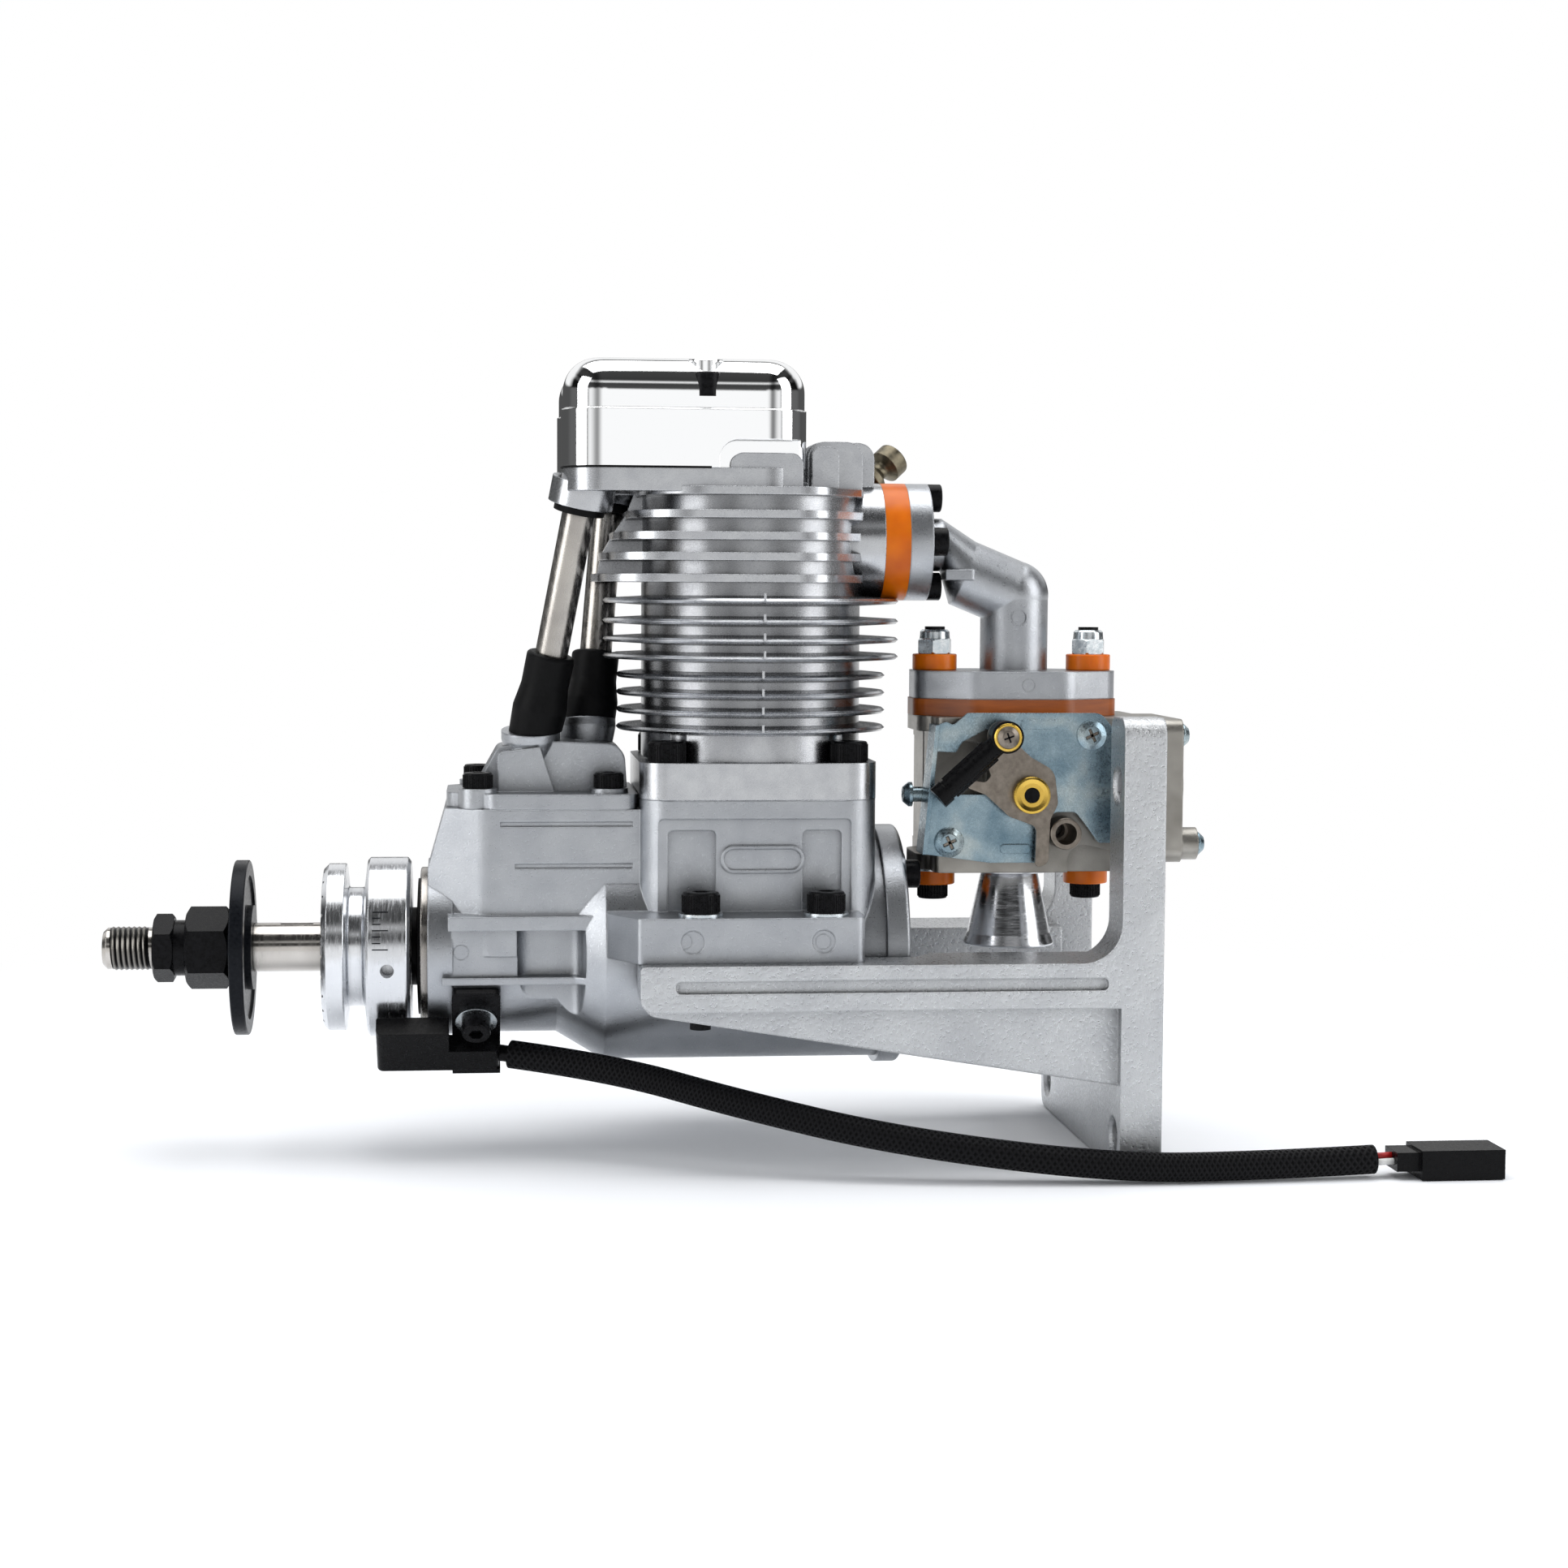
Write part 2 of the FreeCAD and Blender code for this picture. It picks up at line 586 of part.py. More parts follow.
def cylinder():
    points = [(0, skirt_low, 0), (block_bore_r() - slide_gap, skirt_low, 0), (block_bore_r() - slide_gap, 31, 0),
              (barrel_r, 31, 0)]
    for z in low_fins + high_fins:
        tip = low_fin_r if z in low_fins else high_fin_r
        points += [(barrel_r, z - 0.9, 0), (tip - 0.5, z - 0.5, 0), (tip, z, 0), (tip - 0.5, z + 0.5, 0),
                   (barrel_r, z + 0.9, 0)]
    points += [(barrel_r, head_top, 0), (0, head_top, 0)]
    barrel = turned(points, V(cylinder_x, 0, 0), V(0, 0, 1))
    solids = [barrel]
    square = pill(block_front, block_rear, 0, block_half, 6.0, block_top, flange_top)
    solids.append(square)
    for z, front in head_fins:
        h = head_fin_half
        plan = [(front, -h, 14), (-63, -h, 9), (port_face + 0.8 - 5.0, -port_r + 1.5, 4),
                (port_face + 0.8 - 5.0, port_r - 1.5, 4), (-63, h, 9), (front, h, 14)]
        solids.append(slab_z(plan, z - fin_thick / 2, z + fin_thick / 2))
    web = [(-105.4, 71.6, 0), (-104.6, 76.3, 0), (-102.5, 80.2, 0), (-99.7, 84.3, 0), (-97.6, 89.4, 0),
           (-90, 89.4, 0), (-90, 71.6, 0)]
    solids.append(slab_y(web, -1.5, 1.5))
    solids.append(rod(V(-70, 0, port_z), V(port_face, 0, port_z), port_r))
    solids.append(taper(V(-72, 0, port_z), V(-58, 0, port_z), 13.0, port_r - 0.2))
    for y, x0, x1, z in top_fins:
        corner = 0.32 * min(x1 - x0, z - head_top)
        solids.append(slab_y([(x0, head_top - 0.5, 0), (x0, z, corner), (x1, z, corner), (x1, head_top - 0.5, 0)],
                             y - fin_thick / 2, y + fin_thick / 2))
    solids.append(rod(V(valve_x + 1, 12, port_z), V(valve_x + 1, exhaust_face, port_z), 9.2))
    for key in ("in", "ex"):
        y = side[key] * valve_y
        solids.append(pill(rocker_box_front + 0.3, rocker_box_rear - 0.3, y, rocker_box_half - 0.3,
                           rocker_box_round - 0.3, head_top - 0.2, rocker_floor))
        low = push_at(key, 86.0)
        solids.append(rod(low, push_at(key, rocker_floor - 2.2), 6.2))
        for offset in (-5.2, 3.4):
            solids.append(slab_y([(rocker_x - 4.2, rocker_floor - 1, 0), (rocker_x - 3.4, rocker_z + 3.4, 2.6),
                                  (rocker_x + 3.4, rocker_z + 3.4, 2.6), (rocker_x + 4.2, rocker_floor - 1, 0)],
                                 y + offset, y + offset + 1.8))
        seat = cover_screw_seat(key)
        solids.append(rod(V(seat.x, seat.y, rocker_floor - 1), V(seat.x, seat.y, seat.z - 4.7), 2.5))
    body = join(solids)
    tools = [rod(V(cylinder_x, 0, skirt_low - 1), V(cylinder_x, 0, deck_z), bore_r)]
    tools.append(taper(V(cylinder_x, 0, deck_z - 0.01), V(cylinder_x, 0, 79.2), 17.4, 14.6))
    tools.append(rod(V(port_face + 1, 0, port_z), V(-60, -2.0, 84.0), 5.6))
    tools.append(rod(V(-60, -2.0, 84.0), valve_at("in", 84.4), 5.0))
    tools.append(Part.makeSphere(5.5, V(-60, -2.0, 84.0)))
    tools.append(rod(valve_at("ex", 84.2), V(valve_x + 1, 20, 82.4), 5.0))
    tools.append(rod(V(valve_x + 1, 18.5, port_z + 0.6), V(valve_x + 1, exhaust_face + 1, port_z + 0.6), exhaust_r))
    for key in ("in", "ex"):
        low = valve_at(key, valve_face_z)
        tools.append(rod(along(low, valve_axis(key), -3.2), along(low, valve_axis(key), 1.15), valve_head_r + 0.3))
        tools.append(rod(along(low, valve_axis(key), 1.0), along(low, valve_axis(key), 7.4), valve_head_r - 1.3))
        tools.append(taper(along(low, valve_axis(key), 1.0), along(low, valve_axis(key), 1.8), valve_head_r + 0.15,
                           valve_head_r - 1.3))
        tools.append(rod(low, valve_at(key, 96), valve_stem_r + run_gap))
        tools.append(rod(valve_at(key, spring_seat_z - 0.1), valve_at(key, 99), spring_r + 0.5))
        tools.append(rod(push_at(key, 80), push_at(key, 96), tube_r + 0.02))
        tools.append(rod(push_at(key, 40), push_at(key, 84), tube_r + 0.9))
        tools.append(rod(push_at(key, 40), push_at(key, 59), 6.0))
        tools.append(rod(push_at(key, 82.6), push_at(key, 85.97), 5.3))
        y = side[key] * valve_y
        tools.append(rod(V(rocker_x, y - 9, rocker_z), V(rocker_x, y + 9, rocker_z), rocker_pin_r))
        seat = cover_screw_seat(key)
        tools.append(screw_hole(seat, V(0, 0, 1), m3, 9.0))
    tools.append(rod(along(plug_tip, plug_axis, -4), along(plug_tip, plug_axis, 12), 4.9))
    tools.append(rod(along(plug_tip, plug_axis, 9.5), along(plug_tip, plug_axis, 44), 7.6))
    for sx in (-1, 1):
        for sy in (-1, 1):
            x = cylinder_x + sx * base_screw
            tools.append(rod(V(x, sy * base_screw, 20), V(x, sy * base_screw, flange_top + 1), m4[0] + 0.1))
            tools.append(rod(V(x, sy * base_screw, flange_top), V(x, sy * base_screw, 42.2), m4[1] + 0.4))
    for seat in port_screw_seats(port_face):
        tools.append(screw_hole(seat, V(1, 0, 0), m3, 3.2))
    tools.append(rod(V(port_face, 0, port_z), V(-30, 0, port_z), port_r + 0.5))
    return body.cut(tools).removeSplitter()


def block_bore_r():
    return bore_r + 2.0


def port_screw_seats(x):
    angles = [math.radians(a) for a in (0, 90, 180, 270)]
    return [V(x, port_bolt_r * math.cos(a), port_z + port_bolt_r * math.sin(a)) for a in angles]


def cylinder_screws():
    solids = []
    for sx in (-1, 1):
        for sy in (-1, 1):
            solids.append(cap_screw(V(cylinder_x + sx * base_screw, sy * base_screw, flange_top), V(0, 0, 1), m4, 15.0))
    return loose(solids)


def pushrod_tubes():
    solids = []
    for key in ("in", "ex"):
        low = push_at(key, 47.0)
        high = push_at(key, 91.4)
        solids.append(rod(low, high, tube_r).cut(rod(push_at(key, 40), push_at(key, 99), tube_inner_r)))
    return loose(solids)


def rubber_boots():
    solids = []
    for key in ("in", "ex"):
        base = V(lifter_x[key], 0, cam_z)
        reach = (boss_top[key] - cam_z) / math.cos(lifter_tilt)
        low = along(base, lifter_axis(key), reach - 1.5)
        low = V(0.35 * low.x + 0.65 * push_at(key, low.z).x, low.y, low.z)
        high = push_at(key, 57.5)
        long = (high - low).Length
        outer = turned([(0, 0, 0), (5.0, 0, 0.6), (5.3, long * 0.35, 3), (4.6, long * 0.62, 3),
                        (4.7, long, 0.8), (0, long, 0)], low, high - low)
        inside = rod(push_at(key, 40), push_at(key, 60), tube_r + 0.01)
        hollow = rod(along(low, high - low, -1), along(low, high - low, 7.1), tube_r + 0.5)
        landing = rod(along(base, lifter_axis(key), 5), along(base, lifter_axis(key), reach + 0.02), 9)
        solids.append(outer.cut([inside, hollow, landing]))
        seal_low = push_at(key, 84.6)
        seal = rod(seal_low, push_at(key, 85.95), 4.9).cut(rod(push_at(key, 80), push_at(key, 90), tube_r + 0.01))
        solids.append(seal)
    return loose(solids)


def cam_cover():
    plan = [(cover_front, -9.5, 3), (-125.6, -box_half, 3), (cover_rear, -box_half, 2.5), (cover_rear, box_half, 2.5),
            (-125.6, box_half, 3), (cover_front, 9.5, 3)]
    solids = [slab_z(plan, box_top, cover_top)]
    hump = [(-129.6, cover_top - 0.5, 0), (-124.6, 39.4, 1.5), (-118, 40.6, 0.8), (-112, 40.6, 0.8),
            (-100.2, 40.0, 3.5), (-99.6, cover_top - 0.5, 0)]
    solids.append(slab_y(hump, -8.2, 8.2))
    for key in ("in", "ex"):
        axis = lifter_axis(key)
        base = V(lifter_x[key], 0, cam_z)
        long = (boss_top[key] - cam_z) / math.cos(lifter_tilt)
        solids.append(rod(along(base, axis, 14.6), along(base, axis, long), 5.0))
        solids.append(taper(along(base, axis, long - 5.0), along(base, axis, long - 1.6), 5.0, 5.7))
        solids.append(rod(along(base, axis, long - 1.6), along(base, axis, long), 5.7))
    gusset = [(-124.6, cover_top - 0.5, 0), (-124.6, 38.6, 1), (-116.5, 39.6, 0), (-113.6, cover_top - 0.5, 0)]
    solids.append(slab_y(gusset, -10.6, -8.0))
    solids.append(slab_y(gusset, 8.0, 10.6))
    for seat in cam_cover_seats():
        solids.append(rod(V(seat.x, seat.y, box_top), seat, 3.7))
    body = join(solids)
    body = body.common(box(-140, -90, -18, 18, box_top, 60))
    tools = []
    for key in ("in", "ex"):
        axis = lifter_axis(key)
        base = V(lifter_x[key], 0, cam_z)
        tools.append(rod(along(base, axis, 5), along(base, axis, 40), lifter_r + slide_gap))
        tools.append(rod(along(base, axis, 5), along(base, axis, 15.4), lifter_foot_r + 0.4))
    for seat in cam_cover_seats():
        tools.append(rod(V(seat.x, seat.y, 20), V(seat.x, seat.y, 50), m3[0] + 0.1))
        tools.append(rod(seat, V(seat.x, seat.y, 50), m3[1] + 0.45))
    return body.cut(tools).removeSplitter()


def cam_cover_seats():
    seats = []
    for x in (-128.4, -103.4):
        for s in (-1, 1):
            seats.append(V(x, s * 12.6, cover_top + 0.9))
    return seats


def rear_cover_seats():
    angles = (50, 130, 230, 310)
    return [V(-46.0, 19.6 * math.cos(math.radians(a)), 19.6 * math.sin(math.radians(a))) for a in angles]


def rear_cover():
    disc = turned([(0, 0, 0), (23.6, 0, 0), (23.6, 4.5, 0.8), (12, 4.5, 0), (11, 3.2, 0), (0, 3.2, 0)],
                  V(case_rear, 0, 0), V(1, 0, 0))
    solids = [disc]
    for seat in rear_cover_seats():
        solids.append(rod(V(case_rear, seat.y, seat.z), seat, 4.0))
    solids.append(rod(V(case_rear - 2.0, 0, 0), V(case_rear, 0, 0), case_inner_r - slide_gap))
    body = join(solids)
    tools = [rod(V(-60, seat.y, seat.z), V(-40, seat.y, seat.z), m3[0] + 0.1) for seat in rear_cover_seats()]
    tools.append(rod(V(case_rear - 3, 0, 0), V(case_rear + 1.0, 0, 0), case_inner_r - 3.4))
    return body.cut(tools).removeSplitter()


def cover_screws():
    solids = [cap_screw(seat, V(0, 0, 1), m3, 9.0) for seat in cam_cover_seats()]
    solids += [cap_screw(seat, V(1, 0, 0), m3, 12.0) for seat in rear_cover_seats()]
    solids.append(cap_screw(sensor_seat(), sensor_out(), m3, 7.0))
    return loose(solids)


def crankcase():
    solids = [rod(V(-104.2, 0, 0), V(case_rear, 0, 0), case_r)]
    solids.append(taper(V(-113.4, 0, 0), V(-104.2, 0, 0), nose_r - 0.4, case_r))
    solids.append(rod(V(case_front, 0, 0), V(-133.2, 0, 0), nose_r))
    solids.append(rod(V(-134, 0, 0), V(-112, 0, 0), nose_r - 0.4))
    plan = [(case_front - 4, -9.0, 0), (-126.4, -box_half, 9), (-92, -box_half, 0), (-92, box_half, 0),
            (-126.4, box_half, 9), (case_front - 4, 9.0, 0)]
    tower = slab_z(plan, 0, box_top)
    face = slab_y([(case_front, 0, 0), (case_front, nose_r - 0.8, 2), (cover_front - 0.3, box_top, 0),
                   (-92, box_top, 0), (-92, 0, 0)], -30, 30)
    solids.append(tower.common(face))
    solids.append(slab_z([(-133.4, -16.9, 0), (-97, -16.9, 0), (-97, 16.9, 0), (-133.4, 16.9, 0)], -5.2, 8))
    for s in (-1, 1):
        y = s * 19.4
        solids.append(slab_z([(-134.0, min(0, y), 0), (-97, min(0, y), 0), (-97, max(0, y), 0),
                              (-134.0, max(0, y), 0)], 5.2, 7.9))
        y = s * 18.4
        solids.append(slab_z([(-135.2, min(0, y), 0), (-97, min(0, y), 0), (-97, max(0, y), 0),
                              (-135.2, max(0, y), 0)], -5.3, -3.9))
    solids.append(pill(block_front, block_rear, 0, block_half, 6.5, 0, block_top))
    for s in (-1, 1):
        y0 = s * 15
        y1 = s * lug_half
        plan = [(lug_front - 5.5, y0, 0), (lug_front - 5.5, s * 23.5, 0), (lug_front, y1, 1.2),
                (lug_rear, y1, 2.0), (lug_rear, y0, 0)]
        solids.append(slab_z(plan, lug_low, lug_top))
    body = join(solids)
    tools = [rod(V(web_front - 0.8, 0, 0), V(case_rear + 1, 0, 0), case_inner_r)]
    tools.append(rod(V(cylinder_x, 0, skirt_low), V(cylinder_x, 0, block_top + 1), block_bore_r()))
    tools.append(box(web_front - 0.7, -62.0, -17.7, 17.7, 0, skirt_low + 0.1))
    tools.append(rod(V(web_front - 9, 0, 0), V(web_front, 0, 0), rear_bearing_r))
    tools.append(rod(V(-100, 0, 0), V(web_front, 0, 0), journal_r + 1.5))
    tools.append(slab_z([(-131.4, -12.4, 3), (-99.2, -12.4, 3), (-99.2, 12.4, 3), (-131.4, 12.4, 3)], 0, box_top + 1))
    tools.append(rod(V(-131.4, 0, 0), V(-99.2, 0, 0), 12.4))
    tools.append(rod(V(case_front - 1, 0, 0), V(-132.6, 0, 0), front_bearing_r))
    tools.append(rod(V(-133, 0, 0), V(-131, 0, 0), 6.6))
    tools.append(rod(V(-133.6, 0, cam_z), V(-96.2, 0, cam_z), cam_shaft_r + run_gap))
    for s in (-1, 1):
        outer = s * 30
        recess = [(-94.4, lug_top, 0), (-94.4, 26.6, 1), (-57.6, 26.6, 1), (-57.6, lug_top, 0)]
        tools.append(slab_y(recess, min(s * 21.9, outer), max(s * 21.9, outer)))
        for x0, x1 in ((-92.6, -83.4), (-66.9, -59.4)):
            pocket = [(x0, lug_top, 0), (x0, 24.4, 1), (x1, 24.4, 1), (x1, lug_top, 0)]
            tools.append(slab_y(pocket, min(s * 20.6, outer), max(s * 20.6, outer)))
        scoop = slab_z([(-120.9, s * 14.6, 3.0), (-109.2, s * 14.6, 3.0), (-106.5, s * 26, 0),
                        (-121.4, s * 26, 0)], -20.4, 5.2)
        lip = slab_z([(-124, s * 10, 0), (-105, s * 10, 0), (-105, s * 26, 0), (-124, s * 26, 0)], -5.3, -3.9)
        tools.append(scoop.cut(lip))
        for z, x0 in ((25.3, -124.2), (17.3, -121.4)):
            y = s * (box_half - 0.35)
            tools.append(box(x0, -99.0, min(y, s * 25), max(y, s * 25), z - 0.45, z + 0.45))
        for x in lug_bolt_x:
            tools.append(rod(V(x, s * lug_bolt_y, -5), V(x, s * lug_bolt_y, 20), m4[0] + 0.15))
        for x in (-88.6, -64.0):
            mark = rod(V(x, s * lug_half, 4.4), V(x, s * (lug_half - 0.25), 4.4), 2.2)
            tools.append(mark)
    for seat in cam_cover_seats():
        tools.append(screw_hole(V(seat.x, seat.y, box_top), V(0, 0, 1), m3, 6.2))
    for seat in rear_cover_seats():
        tools.append(screw_hole(V(case_rear, seat.y, seat.z), V(1, 0, 0), m3, 7.6))
    for sx in (-1, 1):
        for sy in (-1, 1):
            x = cylinder_x + sx * base_screw
            tools.append(screw_hole(V(x, sy * base_screw, block_top), V(0, 0, 1), m4, 8.0))
    tools.append(rod(sensor_seat(), sensor_seat() - sensor_out() * 7.4, m3[0] + thread_gap))
    body = body.fuse(swing_down(box(sensor_x - sensor_half, sensor_x + sensor_half, sensor_pad_y, -15.2, -4.6, 6.4)))
    body = body.cut(tools)
    badge = slab_y([(-82.6, 16.3, 2.59), (-66.6, 16.3, 2.59), (-66.6, 21.5, 2.59), (-82.6, 21.5, 2.59)],
                   -block_half, -21.8)
    hollow = slab_y([(-82.0, 16.9, 1.99), (-67.2, 16.9, 1.99), (-67.2, 20.9, 1.99), (-82.0, 20.9, 1.99)],
                    -block_half - 1, -22.2)
    body = body.fuse(badge.cut(hollow))
    return body.removeSplitter()


def bearings():
    rear = rod(V(web_front - 9, 0, 0), V(web_front - 0.5, 0, 0), rear_bearing_r)
    rear = rear.cut(rod(V(-110, 0, 0), V(-80, 0, 0), journal_r + run_gap))
    front = rod(V(case_front, 0, 0), V(-132.6, 0, 0), front_bearing_r)
    front = front.cut(rod(V(-150, 0, 0), V(-120, 0, 0), shaft_r + run_gap))
    ring = turned([(shaft_r + 0.6, 0, 0), (15.5, 0, 0.4), (15.5, 1.5, 0), (shaft_r + 0.6, 1.5, 0)],
                  V(case_front - 1.5, 0, 0), V(1, 0, 0))
    return loose([rear, front, ring])


def shaft_seal():
    return turned([(shaft_r + 0.15, 0, 0), (7.6, 0, 0), (7.6, 1.0, 0), (13.3, 1.3, 0), (13.3, 1.8, 0),
                   (shaft_r + 0.15, 1.8, 0)], V(-141.3, 0, 0), V(1, 0, 0))


def sensor_seat():
    return swung(V(sensor_x, sensor_pad_y - 1.8, 0))


def sensor_out():
    return swung(V(0, -1, 0))


def drive_hub():
    points = [(shaft_r, 0, 0), (hub_disc_r - 1, 0, 0), (hub_disc_r, 1.0, 0), (hub_disc_r, hub_disc, 0.3),
              (hub_neck_r, hub_disc + 0.5, 0.5), (hub_neck_r, hub_rim - 0.7, 0.5), (hub_rim_r - 0.5, hub_rim, 0),
              (hub_rim_r, hub_rim + 0.5, 0), (hub_rim_r, hub_long - 0.65, 0.5), (hub_rim_r - 0.9, hub_long, 0),
              (9.5, hub_long, 0), (9.5, hub_long - 1.5, 0), (shaft_r, hub_long - 1.5, 0)]
    hub = turned(points, V(hub_front, 0, 0), V(1, 0, 0))
    grooves = []
    for i in range(hub_serrations):
        angle = 2 * math.pi * i / hub_serrations
        out = V(0, math.cos(angle), math.sin(angle))
        grooves.append(rod(V(hub_front, 0, 0) + out * 7.5, V(hub_front, 0, 0) + out * hub_rim_r, 0.35))
    grooves.append(rod(V(hub_rear - 4.25, -hub_rim_r - 0.5, -2.6), V(hub_rear - 4.25, -hub_neck_r - 0.4, -2.6), 1.3))
    return hub.cut(grooves)


def prop_washer():
    return turned([(stud_r + 0.1, 0, 0), (7.4, 0, 0), (10.6, 1.0, 0), (17.0, 1.0, 0.3), (17.0, 3.7, 0.3),
                   (14.0, 3.7, 0), (14.0, 3.2, 0), (8.2, 3.2, 0), (8.2, 4.5, 0), (stud_r + 0.1, 4.5, 0)],
                  V(washer_front, 0, 0), V(1, 0, 0))


def nut(front, rear, flats, bore_radius, chamfer):
    blank = hexagon(V(front, 0, 0), V(1, 0, 0), flats, rear - front)
    corner = flats / math.sqrt(3)
    lathe = turned([(0, 0, 0), (corner - chamfer, 0, 0), (corner + 0.1, chamfer * 0.7, 0),
                    (corner + 0.1, rear - front - chamfer * 0.7, 0), (corner - chamfer, rear - front, 0),
                    (0, rear - front, 0)], V(front, 0, 0), V(1, 0, 0))
    return blank.common(lathe).cut(rod(V(front - 1, 0, 0), V(rear + 1, 0, 0), bore_radius))


def prop_nut():
    body = nut(nut_joint + 2.3, washer_front, 14.0, thread_core, 1.2)
    neck = turned([(thread_core, 0, 0), (5.4, 0, 0), (5.4, 2.3, 0), (thread_core, 2.3, 0)], V(nut_joint, 0, 0),
                  V(1, 0, 0))
    return body.fuse(neck).removeSplitter()


def lock_nut():
    return nut(nut_front, nut_joint, 11.6, thread_core, 0.8)


def piston():
    pin_z = crank_throw + rod_length
    low = pin_z - piston_skirt
    crown = pin_z + piston_crown
    r = bore_r - slide_gap
    points = [(0, crown, 0), (r - 0.4, crown, 0), (r, crown - 0.4, 0), (r, crown - 2.2, 0), (r - 1.5, crown - 2.2, 0),
              (r - 1.5, crown - 3.4, 0), (r, crown - 3.4, 0), (r, low, 0), (r - 1.6, low, 0),
              (r - 1.6, crown - 5.5, 2.5), (0, crown - 3.2, 0)]
    body = turned(points, V(cylinder_x, 0, 0), V(0, 0, 1))
    bosses = []
    for s in (-1, 1):
        inner = cylinder_x + s * (big_end_half + 0.5)
        outer = cylinder_x + s * (r - 1.0)
        boss = rod(V(inner, 0, pin_z), V(outer, 0, pin_z), 5.6)
        post = box(min(inner, outer), max(inner, outer), -5.0, 5.0, pin_z, crown - 3)
        bosses += [boss, post]
    trim = rod(V(cylinder_x, 0, low), V(cylinder_x, 0, crown - 1), r - 0.5)
    bosses = [b.common(trim) for b in bosses]
    body = join([body] + bosses)
    body = body.cut(rod(V(cylinder_x - 20, 0, pin_z), V(cylinder_x + 20, 0, pin_z), wrist_r))
    ring = turned([(r - 1.4, crown - 3.35, 0), (r, crown - 3.35, 0), (r, crown - 2.25, 0), (r - 1.4, crown - 2.25, 0)],
                  V(cylinder_x, 0, 0), V(0, 0, 1))
    return loose([body, ring])


def wrist_pin():
    z = crank_throw + rod_length
    half = bore_r - 2.2
    return rod(V(cylinder_x - half, 0, z), V(cylinder_x + half, 0, z), wrist_r).cut(
        rod(V(cylinder_x - half - 1, 0, z), V(cylinder_x + half + 1, 0, z), 2.0))


def conrod():
    top = crank_throw + rod_length
    low = crank_throw
    x0 = cylinder_x - big_end_half
    x1 = cylinder_x + big_end_half
    small = rod(V(x0, 0, top), V(x1, 0, top), wrist_r + 2.0)
    big = rod(V(x0, 0, low), V(x1, 0, low), big_end_r)
    beam = slab_x([(-3.0, low + 3.5, 0), (-2.6, top - 4, 0), (2.6, top - 4, 0), (3.0, low + 3.5, 0)], x0 + 1.2, x1 - 1.2)
    body = join([small, big, beam])
    tools = [rod(V(x0 - 1, 0, top), V(x1 + 1, 0, top), wrist_r + run_gap)]
    tools.append(rod(V(x0 - 1, 0, low), V(x1 + 1, 0, low), pin_r))
    for s in (-1, 1):
        x = cylinder_x + s * 1.2
        out = cylinder_x + s * 4
        tools.append(slab_x([(-1.5, low + 7.0, 1.2), (-1.3, top - 7, 1.0), (1.3, top - 7, 1.0), (1.5, low + 7.0, 1.2)],
                            min(x, out), max(x, out)))
    return body.cut(tools)


def crankpin():
    return rod(V(web_rear + 0.1, 0, crank_throw), V(cylinder_x + big_end_half + 0.8, 0, crank_throw), pin_r)


def port_insulator():
    body = rod(V(port_face, 0, port_z), V(insulator_rear, 0, port_z), port_r)
    tools = [rod(V(port_face - 1, 0, port_z), V(insulator_rear + 1, 0, port_z), 5.0)]
    for seat in port_screw_seats(port_face):
        tools.append(rod(V(port_face - 1, seat.y, seat.z), V(insulator_rear + 1, seat.y, seat.z), m3[0] + 0.15))
    return body.cut(tools)


def elbow_screws():
    return loose([cap_screw(seat, V(1, 0, 0), m3, 12.5) for seat in port_screw_seats(elbow_flange_rear)])


def carb_bolts_x():
    return (throat_x - carb_bolt_half, throat_x + carb_bolt_half)


def flange_plan(shrink):
    x0 = throat_x - 20.1 + shrink
    x1 = throat_x + 20.1 - shrink
    h = 12.5 - shrink
    return [(x0, -5.2, 4.5), (throat_x - 9, -h, 6), (throat_x + 9, -h, 6), (x1, -5.2, 4.5),
            (x1, 5.2, 4.5), (throat_x + 9, h, 6), (throat_x - 9, h, 6), (x0, 5.2, 4.5)]


def inlet_elbow():
    knee = V(throat_x + 0.4, 0, elbow_knee_z)
    slope = V(-20.5, 0, 8.4)
    slope.normalize()
    root = knee + slope * 11.4
    solids = [rod(V(insulator_rear, 0, port_z), V(elbow_flange_rear, 0, port_z), port_r)]
    neck = V(-37.2, 0, port_z - 0.5)
    solids.append(rod(V(elbow_flange_rear - 1, 0, neck.z), neck, elbow_neck_r))
    narrow = Part.Wire(Part.makeCircle(elbow_neck_r, neck, V(1, 0, 0)))
    wide = Part.Wire(Part.makeCircle(elbow_pipe_r, root, slope * -1))
    solids.append(Part.makeLoft([narrow, wide], True))
    solids.append(rod(root, knee, elbow_pipe_r))
    solids.append(Part.makeSphere(elbow_pipe_r + 0.06, knee))
    solids.append(rod(knee, V(knee.x, 0, carb_flange_top - 0.5), elbow_pipe_r))
    solids.append(slab_z(flange_plan(0), carb_flange_z, carb_flange_top))
    rib = slab_z([(-37.1, 0, 0), (-37.1, -6.2, 0), (-31.4, -7.0, 1), (-30.0, 0, 0)], 72.2, 74.2)
    solids.append(rib)
    body = join(solids)
    tools = [rod(V(insulator_rear - 1, 0, port_z), V(elbow_flange_rear + 2.0, 0, port_z), elbow_neck_r - 1.2)]
    tools.append(rod(V(elbow_flange_rear + 1.0, 0, port_z - 0.2), knee, elbow_neck_r - 1.8))
    tools.append(Part.makeSphere(elbow_bore_r + 0.06, knee))
    tools.append(rod(knee, V(throat_x, 0, carb_flange_z - 1), elbow_bore_r))
    for seat in port_screw_seats(port_face):
        tools.append(rod(V(-50, seat.y, seat.z), V(elbow_flange_rear + 0.1, seat.y, seat.z), m3[0] + 0.15))
    for x in carb_bolts_x():
        tools.append(rod(V(x, 0, 40), V(x, 0, 60), 2.15))
    return body.cut(tools).removeSplitter()


